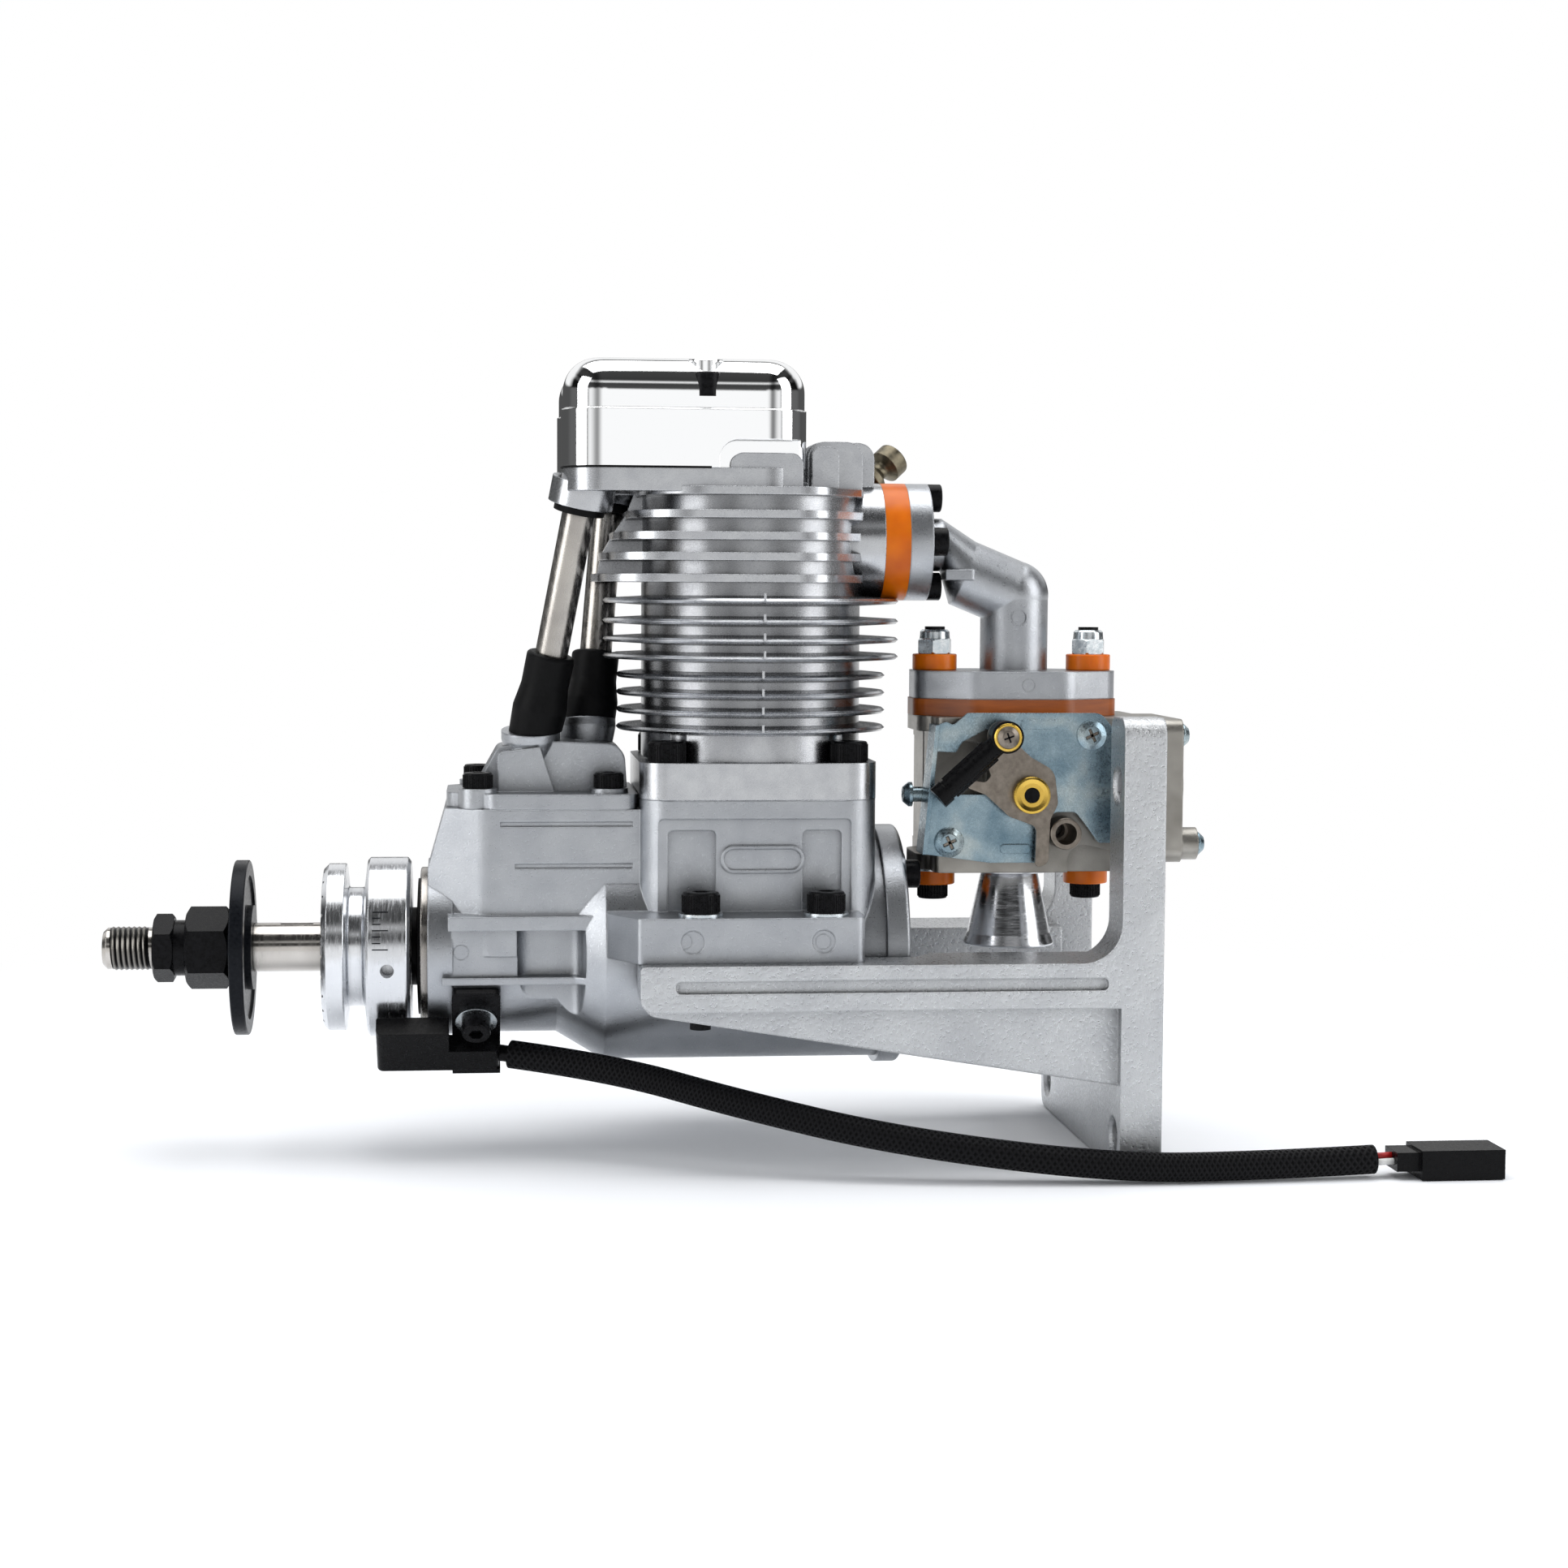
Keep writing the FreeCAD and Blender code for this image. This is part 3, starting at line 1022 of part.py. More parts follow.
def carb_insulator():
    body = slab_z(flange_plan(-0.25), carb_top, carb_flange_z)
    tools = [rod(V(throat_x, 0, 40), V(throat_x, 0, 60), elbow_bore_r + 0.4)]
    for x in carb_bolts_x():
        tools.append(rod(V(x, 0, 40), V(x, 0, 60), 2.15))
    return body.cut(tools)


def carb_bushes():
    solids = []
    for x in carb_bolts_x():
        for low, high in ((carb_flange_top, 57.6), (11.8, 14.6)):
            bush = turned([(2.1, 0, 0), (4.4, 0, 0.3), (4.4, high - low, 0.3), (2.1, high - low, 0)],
                          V(x, 0, low), V(0, 0, 1))
            solids.append(bush)
    return loose(solids)


def carb_bolts():
    size = (2.0, 2.9, 2.9, 2.5)
    return loose([cap_screw(V(x, 0, 11.8), V(0, 0, -1), size, 51.2) for x in carb_bolts_x()])


def zinc_hardware():
    # Locking nuts over the carburettor, washers under it, under the lug bolts and under the sensor screw.
    solids = []
    for x in carb_bolts_x():
        blank = hexagon(V(x, 0, 57.6), V(0, 0, 1), 6.2, 4.8, 15)
        lathe = turned([(0, 0, 0), (3.3, 0, 0), (3.6, 0.4, 0), (3.6, 2.6, 0), (3.0, 3.0, 0), (2.9, 4.4, 0),
                        (2.5, 4.8, 0), (0, 4.8, 0)], V(x, 0, 57.6), V(0, 0, 1))
        solids.append(blank.common(lathe).cut(rod(V(x, 0, 50), V(x, 0, 70), 2.0)))
        solids.append(rod(V(x, 0, 14.6), V(x, 0, carb_low), 5.2).cut(rod(V(x, 0, 10), V(x, 0, 20), 2.1)))
    for x in lug_bolt_x:
        for s in (-1, 1):
            washer = rod(V(x, s * lug_bolt_y, lug_top), V(x, s * lug_bolt_y, lug_top + 0.6), 4.2)
            solids.append(washer.cut(rod(V(x, s * lug_bolt_y, 0), V(x, s * lug_bolt_y, 12), 2.1)))
    seat = sensor_seat()
    out = sensor_out()
    washer = rod(seat - out * 0.6, seat, 4.0).cut(rod(seat - out * 2, seat + out * 2, 1.6))
    solids.append(washer)
    return loose(solids)


def carb_body():
    solids = [pill(carb_front + 2.4, carb_rear, 0, carb_half, 2.0, carb_low, carb_top)]
    solids.append(slab_z([(carb_front, -9.5, 4), (carb_rear, -9.5, 0), (carb_rear, 9.5, 0), (carb_front, 9.5, 4)],
                         carb_top - 3.0, carb_top))
    solids.append(slab_z([(carb_front, -9.5, 4), (carb_rear, -9.5, 0), (carb_rear, 9.5, 0), (carb_front, 9.5, 4)],
                         carb_low, carb_low + 3.0))
    body = join(solids)
    tools = [rod(V(throat_x, 0, carb_low - 1), V(throat_x, 0, carb_top + 1), throttle_bore_r)]
    tools.append(rod(V(throat_x, -30, throttle_z), V(throat_x, 30, throttle_z), throttle_shaft_r + run_gap))
    for s in (-1, 1):
        cheek = [(-41, 20, 1.5), (-41, 41, 1.5), (-30.5, 41, 3), (-30.5, 20, 3)]
        tools.append(slab_y(cheek, min(s * 12.6, s * 20), max(s * 12.6, s * 20)))
    tools.append(slab_y([(-14.2, carb_low - 1, 0), (-14.2, 21.6, 3.2), (-4.8, 19.4, 3), (-1.8, 25.0, 2),
                         (4, 25.0, 0), (4, carb_low - 1, 0)], -20, -13.6))
    for x in carb_bolts_x():
        tools.append(rod(V(x, 0, 0), V(x, 0, 60), 2.15))
    for seat in carb_screw_seats():
        tools.append(rod(V(seat.x, carb_plate_y, seat.z), V(seat.x, -9, seat.z), 1.5 + thread_gap))
    tools.append(rod(V(nipple_x, -20, nipple_z), V(nipple_x, -8, nipple_z), 2.4))
    tools.append(rod(V(carb_front - 2, -10.4, idle_z), V(-30, -10.4, idle_z), 1.5 + thread_gap))
    for y, z, rise in pump_corners():
        tools.append(rod(V(-6, y, z), V(4, y, z), 1.2 + thread_gap))
    return body.cut(tools).removeSplitter()


def pump_corners():
    # Y, Z and height of the screw seat over the cover.
    return ((-11.2, 20.6, 3.4), (11.6, 20.2, 0), (11.6, 42.0, 0), (-11.6, 42.0, 0))


def carb_screw_seats():
    return (V(-10.3, carb_plate_y - 0.9, 42.3), V(-38.0, carb_plate_y - 0.9, 21.6))


def pump_gasket():
    body = slab_x([(-14.6, 17.0, 2), (14.6, 17.0, 2), (14.6, 45.2, 2), (-14.6, 45.2, 2)], carb_rear, carb_rear + 1.1)
    return body.cut([rod(V(-6, y, z), V(12, y, z), 1.3) for y, z, rise in pump_corners()])


def pump_cover():
    low = carb_rear + 1.1
    solids = [slab_x([(-14.6, 17.0, 2.5), (14.6, 17.0, 2.5), (14.6, 45.2, 2.5), (-14.6, 45.2, 2.5)], low, low + 5.2)]
    solids.append(turned([(0, 0, 0), (9.6, 0, 0), (9.6, 5.2, 0), (7.6, 7.2, 1.5), (0, 7.2, 0)],
                         V(low, 0, 31.6), V(1, 0, 0)))
    for y, z, rise in pump_corners():
        if rise > 0:
            solids.append(rod(V(low, y, z), V(low + 5.2 + rise, y, z), 3.2))
    body = join(solids)
    body = body.cut([rod(V(-6, y, z), V(20, y, z), 1.3) for y, z, rise in pump_corners()])
    return body.removeSplitter()


def carb_plate():
    y0 = carb_plate_y - 0.9
    y1 = carb_plate_y
    shape = [(-40.4, 44.3, 0.6), (-38.6, 44.9, 0.5), (-37.4, 44.2, 0.8), (-34.6, 46.6, 1.0), (-8.4, 46.6, 2.6),
             (-6.0, 43.6, 2.0), (-6.0, 21.4, 0), (-8.6, 21.4, 0.8), (-10.8, 24.4, 1.2), (-13.2, 27.4, 1.6),
             (-17.4, 27.4, 1.8), (-19.6, 24.6, 0), (-19.6, 17.6, 0.8), (-30.0, 17.6, 1.0), (-43.4, 19.4, 0.6)]
    face = slab_y(shape, y0, y1)
    window = slab_y([(-40.9, 30.8, 0.6), (-40.9, 39.2, 0.8), (-36.8, 39.0, 0.6), (-35.6, 41.0, 0.8),
                     (-31.0, 43.4, 0.8), (-29.0, 43.4, 0.6), (-26.8, 37.2, 1.0), (-29.4, 30.8, 0.8)], y0 - 1, y1 + 1)
    upper = slab_y([(-43.4, 19.4, 0), (-42.5, 19.4, 0), (-40.2, 44.3, 0), (-41.0, 44.3, 0)], y0 - 1.6, y1 + 5.5)
    beads = []
    for x0, x1, z in ((-24.2, -17.0, 44.4), (-28.0, -22.0, 20.3)):
        beads.append(slab_y([(x0, z - 0.9, 0.85), (x1, z - 0.9, 0.85), (x1, z + 0.9, 0.85), (x0, z + 0.9, 0.85)],
                            y0 - 0.35, y0 + 0.1))
    tools = [window, rod(V(throat_x, y0 - 1, throttle_z), V(throat_x, y1 + 1, throttle_z), throttle_shaft_r + 0.6)]
    for seat in carb_screw_seats():
        tools.append(rod(V(seat.x, y0 - 1, seat.z), V(seat.x, y1 + 1, seat.z), 1.6))
    tools.append(rod(V(nipple_x, y0 - 1, nipple_z), V(nipple_x, y1 + 1, nipple_z), 3.3))
    tools.append(rod(V(-50, -10.4, idle_z), V(-36, -10.4, idle_z), 1.7))
    body = join([face, upper] + beads)
    return body.cut(tools).removeSplitter()


def pan_screw(seat, axis, shank_r, head_r, head_h, length):
    head = turned([(0, -length, 0), (shank_r, -length, 0), (shank_r, 0, 0), (head_r, 0, 0),
                   (head_r, 0.35 * head_h, 0), (0.6 * head_r, head_h, 0.3), (0, head_h, 0)], seat, axis)
    long = 0.48 * head_r
    arms = [box(-long, long, -0.32, 0.32, 0.35 * head_h, head_h + 1),
            box(-0.32, 0.32, -long, long, 0.35 * head_h, head_h + 1)]
    cross = arms[0].fuse(arms[1])
    cross.rotate(V(0, 0, 0), V(0, 0, 1), 25)
    cross.Placement = FreeCAD.Placement(seat, FreeCAD.Rotation(V(0, 0, 1), axis)).multiply(cross.Placement)
    return head.cut(cross)


def carb_screws():
    solids = [pan_screw(seat, V(0, -1, 0), 1.5, 2.9, 1.1, 6.5) for seat in carb_screw_seats()]
    for y, z, rise in pump_corners():
        solids.append(pan_screw(V(carb_rear + 6.3 + rise, y, z), V(1, 0, 0), 1.2, 2.3, 1.6, 10.0 + rise))
    solids.append(pan_screw(V(carb_front - 1.6, -10.4, idle_z), V(-1, 0, 0), 1.5, 2.4, 1.8, 12.6))
    return loose(solids)


def fuel_nipple():
    return turned([(1.5, 0, 0), (2.4, 0, 0), (2.4, 6.6, 0), (3.1, 6.6, 0), (3.1, 11.4, 0.3), (2.1, 11.4, 0),
                   (2.1, 3.0, 0), (1.5, 3.0, 0)], V(nipple_x, -9.6, nipple_z), V(0, -1, 0))


def throttle_shaft():
    shaft = rod(V(throat_x, -22.0, throttle_z), V(throat_x, 17.6, throttle_z), throttle_shaft_r)
    shaft = shaft.cut(box(throat_x - 4, throat_x + 4, -6.6, 6.6, throttle_z - 0.35, throttle_z + 0.35))
    disc = Part.makeCylinder(throttle_bore_r - 0.3, 0.6, V(throat_x, 0, throttle_z - 0.3), V(0, 0, 1))
    return loose([shaft, disc])


def throttle_lever():
    y0 = lever_y
    y1 = lever_y + 1.0
    shape = [(-30.6, 41.4, 3.0), (-26.6, 45.0, 3.0), (-24.6, 40.0, 2.0), (-22.6, 38.2, 2.0), (-18.0, 35.6, 3.4),
             (-17.2, 29.2, 2.2), (-18.7, 26.2, 1.4), (-19.0, 17.8, 1.4), (-21.6, 16.6, 0.8), (-21.4, 24.8, 1.6),
             (-26.8, 26.8, 2.0), (-31.4, 31.0, 1.6), (-35.2, 32.4, 0.6), (-34.4, 33.8, 0.5), (-31.4, 33.4, 0.8),
             (-30.4, 34.6, 0.6), (-31.0, 36.4, 0.8)]
    plate = slab_y(shape, y0, y1)
    eye = rod(V(link_x, y0, link_z), V(link_x, y1, link_z), 2.9)
    hub = rod(V(throat_x, y1, throttle_z), V(throat_x, y1 + 1.2, throttle_z), 3.6)
    foot = 0.5 + link_spacer
    top = foot + link_wide + 0.2
    stud = turned([(0, 0, 0), (2.2, 0, 0), (2.2, foot, 0), (1.5, foot, 0), (1.5, top, 0), (2.1, top, 0),
                   (2.1, top + 0.5, 0), (1.2, top + 1.1, 0.3), (0, top + 1.1, 0)],
                  V(link_x, y0 + 0.5, link_z), V(0, -1, 0))
    body = join([plate, eye, hub])
    body = body.cut(rod(V(throat_x, y0 - 2, throttle_z), V(throat_x, y1 + 3, throttle_z), throttle_shaft_r))
    return body.fuse(stud).removeSplitter()


def lever_nut():
    return turned([(throttle_shaft_r, 0, 0), (3.6, 0, 0.3), (3.6, 1.9, 0.5), (2.9, 1.9, 0), (2.9, 1.2, 0),
                   (throttle_shaft_r, 1.2, 0)], V(throat_x, lever_y, throttle_z), V(0, -1, 0))


def ball_link():
    y1 = lever_y - link_spacer - 0.1
    y0 = y1 - link_wide
    eye = rod(V(link_x, y0, link_z), V(link_x, y1, link_z), 3.1)
    tail = V(-41.2, 0, 30.6)
    heading = V(tail.x - link_x, 0, tail.z - link_z)
    heading.normalize()
    across = V(-heading.z, 0, heading.x)
    middle_y = (y0 + y1) / 2
    barrel_start = V(link_x, middle_y, link_z) + heading * 2.4
    barrel_end = V(tail.x, middle_y, tail.z)
    barrel = rod(barrel_start, barrel_end, 2.0)
    collar = rod(barrel_end - heading * 2.2, barrel_end, 2.3)
    ribs = []
    for s in (-1, 1):
        start = V(link_x, middle_y, link_z) + heading * 4.0 + across * (s * 1.6)
        ribs.append(rod(start, start + heading * 10.5, 0.8))
    body = join([eye, barrel, collar] + ribs)
    bore = rod(V(link_x, y0 - 1, link_z), V(link_x, y1 + 1, link_z), 1.5 + run_gap)
    socket = rod(barrel_end - heading * 7.0, barrel_end + heading * 1.0, 0.9)
    return body.cut([bore, socket])


def bell_mouth():
    low = -0.4
    points = [(8.6, carb_low, 0), (8.6, carb_low - 1.0, 0), (5.6, carb_low - 1.0, 0), (6.0, 12.5, 0), (8.3, 2.0, 1.0), (9.2, low, 0.4), (8.2, low, 0), (7.3, 2.4, 1.0),
              (5.0, 12.3, 0), (4.6, carb_low, 0)]
    return turned(points, V(throat_x, 0, 0), V(0, 0, 1))


def mount():
    solids = []
    plate = slab_x([(-mount_half_outer, mount_low, 3.5), (mount_half_outer, mount_low, 3.5),
                    (mount_half_outer, mount_high, 3.5), (mount_half_inner, mount_high, 2.5),
                    (mount_half_inner, -22.0, 4.0), (-mount_half_inner, -22.0, 4.0),
                    (-mount_half_inner, mount_high, 2.5), (-mount_half_outer, mount_high, 3.5)], -mount_thick, 0)
    solids.append(plate)
    for s in (-1, 1):
        inner = s * mount_half_inner
        outer = s * mount_half_outer
        web = s * (mount_half_outer - 2.6)
        root = -mount_thick + 0.5
        flange = [(beam_front, lug_low, 0.8), (beam_front, -8.2, 2.5), (root, -8.2, 0), (root, 8.4, 0),
                  (-mount_thick, 8.4, 0), (-mount_thick, lug_low, 7.5)]
        solids.append(slab_y(flange, min(inner, outer), max(inner, outer)))
        low = [(beam_front + 0.6, -6.0, 0), (beam_front + 0.6, beam_low_front, 3), (root, beam_low_rear, 0),
               (root, -6.0, 0)]
        solids.append(slab_y(low, min(inner, web), max(inner, web)))
        shelf = [(-45.4, s * mount_half_inner, 0), (-41.6, s * 19.6, 1), (-mount_thick + 0.5, s * 19.6, 0),
                 (-mount_thick + 0.5, s * (mount_half_inner + 1), 0), (-45.4, s * (mount_half_inner + 1), 0)]
        solids.append(slab_z(shelf, -7.4, lug_low))
    body = join(solids)
    tools = []
    for s in (-1, 1):
        far = s * (mount_half_outer + 1)
        near = s * (mount_half_outer - 1.0)
        groove = [(-92, -4.7, 1.0), (-92, -2.4, 1.0), (-10.5, -2.4, 1.0), (-10.5, -4.7, 1.0)]
        tools.append(slab_y(groove, min(near, far), max(near, far)))
        for z in (-hole_z, hole_z):
            tools.append(rod(V(-20, s * hole_y, z), V(5, s * hole_y, z), hole_r))
            tools.append(taper(V(-mount_thick - 0.01, s * hole_y, z), V(-mount_thick + 0.7, s * hole_y, z),
                               hole_r + 0.7, hole_r))
        for x in lug_bolt_x:
            tools.append(rod(V(x, s * lug_bolt_y, -30), V(x, s * lug_bolt_y, 5), m4[0] + thread_gap))
    return body.cut(tools).removeSplitter()


def lug_bolts():
    solids = []
    for x in lug_bolt_x:
        for s in (-1, 1):
            solids.append(cap_screw(V(x, s * lug_bolt_y, lug_top + 0.6), V(0, 0, 1), m4, 22.0))
    return loose(solids)


def swing_down(shape):
    shape.rotate(V(0, 0, 0), V(1, 0, 0), sensor_swing)
    return shape


def swung(point):
    angle = math.radians(sensor_swing)
    return V(point.x, point.y * math.cos(angle) - point.z * math.sin(angle),
             point.y * math.sin(angle) + point.z * math.cos(angle))


def sensor_bracket():
    low = sensor_pad_y - 1.2
    front = sensor_x - sensor_half
    rear = sensor_x + sensor_half
    arm = slab_y([(front, 8.0, 1.2), (rear, 8.0, 1.2), (rear, -11.6, 0), (front, -11.6, 0)], low, sensor_pad_y)
    foot = box(front, rear, low - 4.0, low, -11.6, -10.4)
    body = arm.fuse(foot).cut(rod(V(sensor_x, -30, 0), V(sensor_x, -10, 0), 1.65))
    return swing_down(body.removeSplitter())


def sensor_body():
    inner = sensor_pad_y - 1.2
    front = slab_z([(-147.8, inner - 4.2, 1.2), (-147.8, -18.6, 0.5), (-134.0, -18.6, 0), (-134.0, inner - 4.2, 0)],
                   -10.3, 1.0)
    rear = slab_z([(-135.0, inner - 4.2, 0), (-135.0, inner, 0), (-124.4, inner, 0.5), (-124.4, inner - 4.2, 1.2)],
                  -10.3, -4.5)
    block = swing_down(join([front, rear]))
    start = lead_points()[0]
    heading = lead_points()[1] - start
    gland = rod(along(start, heading, -3.2), start, gland_r)
    return block.fuse(gland).removeSplitter()


def lead_start():
    return swung(V(-122.2, sensor_pad_y - 3.85, -7.4))


def lead_points():
    return [lead_start(), V(-103.0, -17.5, -21.6), V(-80.0, -30.5, -26.4), V(-51.0, -39.8, -32.2),
            V(-10.0, lead_y, -37.25), V(19.0, -43.0, -37.25), V(39.8, -41.6, -36.7)]


def sensor_wires():
    start = lead_points()[-1]
    heading = start - lead_points()[-2]
    heading.normalize()
    across = heading.cross(V(0, 0, 1))
    across.normalize()
    upward = across.cross(heading)
    wires = []
    for offset, rise in ((-1.3, -0.3), (0.0, 0.6), (1.3, -0.3)):
        low = start + across * offset + upward * rise
        wire = rod(low, low + heading * (plug_x - start.x + 3), 0.55)
        wires.append(wire.common(box(start.x - 5, plug_x, -60, -20, -60, -20)))
    return loose(wires)


def sensor_plug():
    y = lead_points()[-1].y + 0.3
    body = box(plug_x, plug_x + 6.5, y - 3.6, y + 3.6, -38.5, -34.9)
    shell = box(plug_x + 4.5, plug_x + 20.6, y - 4.8, y + 4.8, -40.0, -34.4)
    cavity = box(plug_x + 12, plug_x + 22, y - 3.8, y + 3.8, -39.0, -35.4)
    return body.fuse(shell).cut(cavity).removeSplitter()


save("crankcase", crankcase())
save("bearings", bearings())
save("shaft_seal", shaft_seal())
save("cam_cover", cam_cover())
save("rear_cover", rear_cover())
save("cover_screws", cover_screws())
save("cylinder", cylinder())
save("cylinder_screws", cylinder_screws())
save("rocker_cover_in", rocker_cover("in"))
save("rocker_cover_ex", rocker_cover("ex"))
save("rocker_cover_screws", rocker_cover_screws())
save("rocker_shafts", rocker_shafts())
save("pushrod_tubes", pushrod_tubes())
save("rubber_boots", rubber_boots())
save("spark_plug", spark_plug())
save("port_insulator", port_insulator())
save("inlet_elbow", inlet_elbow())
save("elbow_screws", elbow_screws())
save("carb_insulator", carb_insulator())
save("carb_bushes", carb_bushes())
save("carb_bolts", carb_bolts())
save("zinc_hardware", zinc_hardware())
save("carb_body", carb_body())
save("pump_gasket", pump_gasket())
save("pump_cover", pump_cover())
save("carb_plate", carb_plate())
save("carb_screws", carb_screws())
save("fuel_nipple", fuel_nipple())
save("bell_mouth", bell_mouth())
save("mount", mount())
save("lug_bolts", lug_bolts())
save("sensor_bracket", sensor_bracket())
save("sensor_body", sensor_body())
save("sensor_lead", tube_path(lead_points(), lead_r))
save("sensor_wires", sensor_wires())
save("sensor_plug", sensor_plug())
save("crankshaft", crankshaft())
save("drive_hub", drive_hub())
save("prop_washer", prop_washer())
save("prop_nut", prop_nut())
save("lock_nut", lock_nut())
save("camshaft", camshaft())
save("piston", piston())
save("wrist_pin", wrist_pin())
save("conrod", conrod())
save("crankpin", crankpin())
for key in ("in", "ex"):
    save("lifter_" + key, lifter(key))
    save("rocker_" + key, rocker(key))
    save("valve_" + key, valve(key))
    save("spring_" + key, spring(key))
save("throttle_shaft", throttle_shaft())
save("throttle_lever", throttle_lever())
save("lever_nut", lever_nut())
save("ball_link", ball_link())
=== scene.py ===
import bpy
import json
import math
from mathutils import Matrix, Vector


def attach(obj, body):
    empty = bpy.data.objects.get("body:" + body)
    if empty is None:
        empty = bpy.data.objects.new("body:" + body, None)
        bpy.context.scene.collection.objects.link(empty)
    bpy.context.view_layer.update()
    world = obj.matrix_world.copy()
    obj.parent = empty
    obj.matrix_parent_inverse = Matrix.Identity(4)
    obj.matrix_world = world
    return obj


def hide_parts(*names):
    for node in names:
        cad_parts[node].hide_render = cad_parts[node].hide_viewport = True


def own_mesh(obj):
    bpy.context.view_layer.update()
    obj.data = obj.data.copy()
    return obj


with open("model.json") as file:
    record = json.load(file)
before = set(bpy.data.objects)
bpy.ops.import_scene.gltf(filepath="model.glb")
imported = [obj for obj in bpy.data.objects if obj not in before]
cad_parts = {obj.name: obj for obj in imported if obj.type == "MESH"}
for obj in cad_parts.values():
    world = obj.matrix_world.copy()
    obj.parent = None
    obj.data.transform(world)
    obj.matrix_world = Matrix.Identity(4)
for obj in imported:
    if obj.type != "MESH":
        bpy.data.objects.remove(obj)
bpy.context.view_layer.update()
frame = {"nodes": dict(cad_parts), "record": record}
nodes = frame["nodes"]
record = frame["record"]
MM = 0.001


def srgb(r, g, b):
    """A screen colour, 0 to 255, as the linear colour that shaders take."""
    def one(c):
        c = c / 255.0
        return c / 12.92 if c <= 0.04045 else ((c + 0.055) / 1.055) ** 2.4
    return (one(r), one(g), one(b), 1.0)


class Paint:
    """A procedural material: one Principled shader and a few node helpers."""

    def __init__(self, name, color, metallic, rough):
        self.mat = bpy.data.materials.new(name)
        self.mat.use_nodes = True
        self.tree = self.mat.node_tree
        self.shader = self.tree.nodes["Principled BSDF"]
        self.shader.inputs["Base Color"].default_value = color
        self.shader.inputs["Metallic"].default_value = metallic
        self.shader.inputs["Roughness"].default_value = rough
        self.coord = self.add("ShaderNodeTexCoord")
        self.normal = None

    def add(self, kind, **values):
        node = self.tree.nodes.new(kind)
        for key, value in values.items():
            setattr(node, key, value)
        return node

    def link(self, a, b):
        self.tree.links.new(a, b)

    def stretched(self, scale):
        node = self.add("ShaderNodeMapping")
        node.inputs["Scale"].default_value = scale
        self.link(self.coord.outputs["Object"], node.inputs["Vector"])
        return node.outputs["Vector"]

    def noise(self, scale, detail=3.0, stretch=(1, 1, 1), roughness=0.55):
        node = self.add("ShaderNodeTexNoise")
        node.inputs["Scale"].default_value = scale
        node.inputs["Detail"].default_value = detail
        node.inputs["Roughness"].default_value = roughness
        self.link(self.stretched(stretch), node.inputs["Vector"])
        return node.outputs["Fac"]

    def ramp(self, fac, stops):
        node = self.add("ShaderNodeValToRGB")
        ramp = node.color_ramp
        ramp.elements[0].position = stops[0][0]
        ramp.elements[0].color = stops[0][1]
        ramp.elements[1].position = stops[-1][0]
        ramp.elements[1].color = stops[-1][1]
        for place, color in stops[1:-1]:
            element = ramp.elements.new(place)
            element.color = color
        self.link(fac, node.inputs["Fac"])
        return node.outputs["Color"]

    def grey(self, fac, low, high, start=0.3, end=0.7):
        """A number that runs from low to high while fac runs from start to end."""
        node = self.add("ShaderNodeMapRange")
        node.inputs["From Min"].default_value = start
        node.inputs["From Max"].default_value = end
        node.inputs["To Min"].default_value = low
        node.inputs["To Max"].default_value = high
        self.link(fac, node.inputs["Value"])
        return node.outputs["Result"]

    def color(self, socket):
        self.link(socket, self.shader.inputs["Base Color"])

    def shaded_color(self, socket, reach, deepest):
        """Base colour that darkens in corners and between fins."""
        near = self.add("ShaderNodeAmbientOcclusion")
        near.samples = 6
        near.inputs["Distance"].default_value = reach
        scale = self.add("ShaderNodeVectorMath", operation="SCALE")
        self.link(socket, scale.inputs[0])
        self.link(self.grey(near.outputs["AO"], deepest, 1.0, 0.15, 0.85), scale.inputs["Scale"])
        self.color(scale.outputs["Vector"])

    def rough(self, socket):
        self.link(socket, self.shader.inputs["Roughness"])

    def soft_edges(self, radius):
        node = self.add("ShaderNodeBevel")
        node.samples = 4
        node.inputs["Radius"].default_value = radius
        self.normal = node.outputs["Normal"]

    def bump(self, height, distance):
        node = self.add("ShaderNodeBump")
        node.inputs["Strength"].default_value = 1.0
        node.inputs["Distance"].default_value = distance
        self.link(height, node.inputs["Height"])
        if self.normal is not None:
            self.link(self.normal, node.inputs["Normal"])
        self.normal = node.outputs["Normal"]

    def done(self):
        if self.normal is not None:
            self.link(self.normal, self.shader.inputs["Normal"])
        return self.mat


# Paints darker than the limit reflect little
black_limit = 0.02
black_gloss = 0.1


def cast(name, low, high, rough, grain, depth, edge, sparkle=0.0):
    """Cast metal: sandy relief, cloudy brightness and painted shade in the corners."""
    paint = Paint(name, high, 1.0, rough)
    paint.soft_edges(edge)
    fine = paint.noise(grain, 4.0, roughness=0.7)
    wide = paint.noise(grain * 0.06, 2.0)
    paint.shaded_color(paint.ramp(wide, [(0.3, low), (0.7, high)]), reach=0.007, deepest=0.45)
    paint.rough(paint.grey(fine, rough - 0.07 - sparkle, rough + 0.07 + sparkle))
    paint.bump(fine, depth)
    return paint.done()


def turned(name, low, high, rough, stretch):
    """Lathe or grinding lines: noise that is long round the axis and short along it, and painted shade close
    to corners.
    """
    paint = Paint(name, high, 1.0, rough)
    paint.soft_edges(0.0002)
    lines = paint.noise(900, 3.0, stretch)
    cloud = paint.noise(90, 2.0)
    paint.shaded_color(paint.ramp(cloud, [(0.35, low), (0.65, high)]), reach=0.0016, deepest=0.12)
    paint.rough(paint.grey(lines, max(0.04, rough - 0.06), rough + 0.1))
    paint.bump(lines, 0.000004)
    return paint.done()


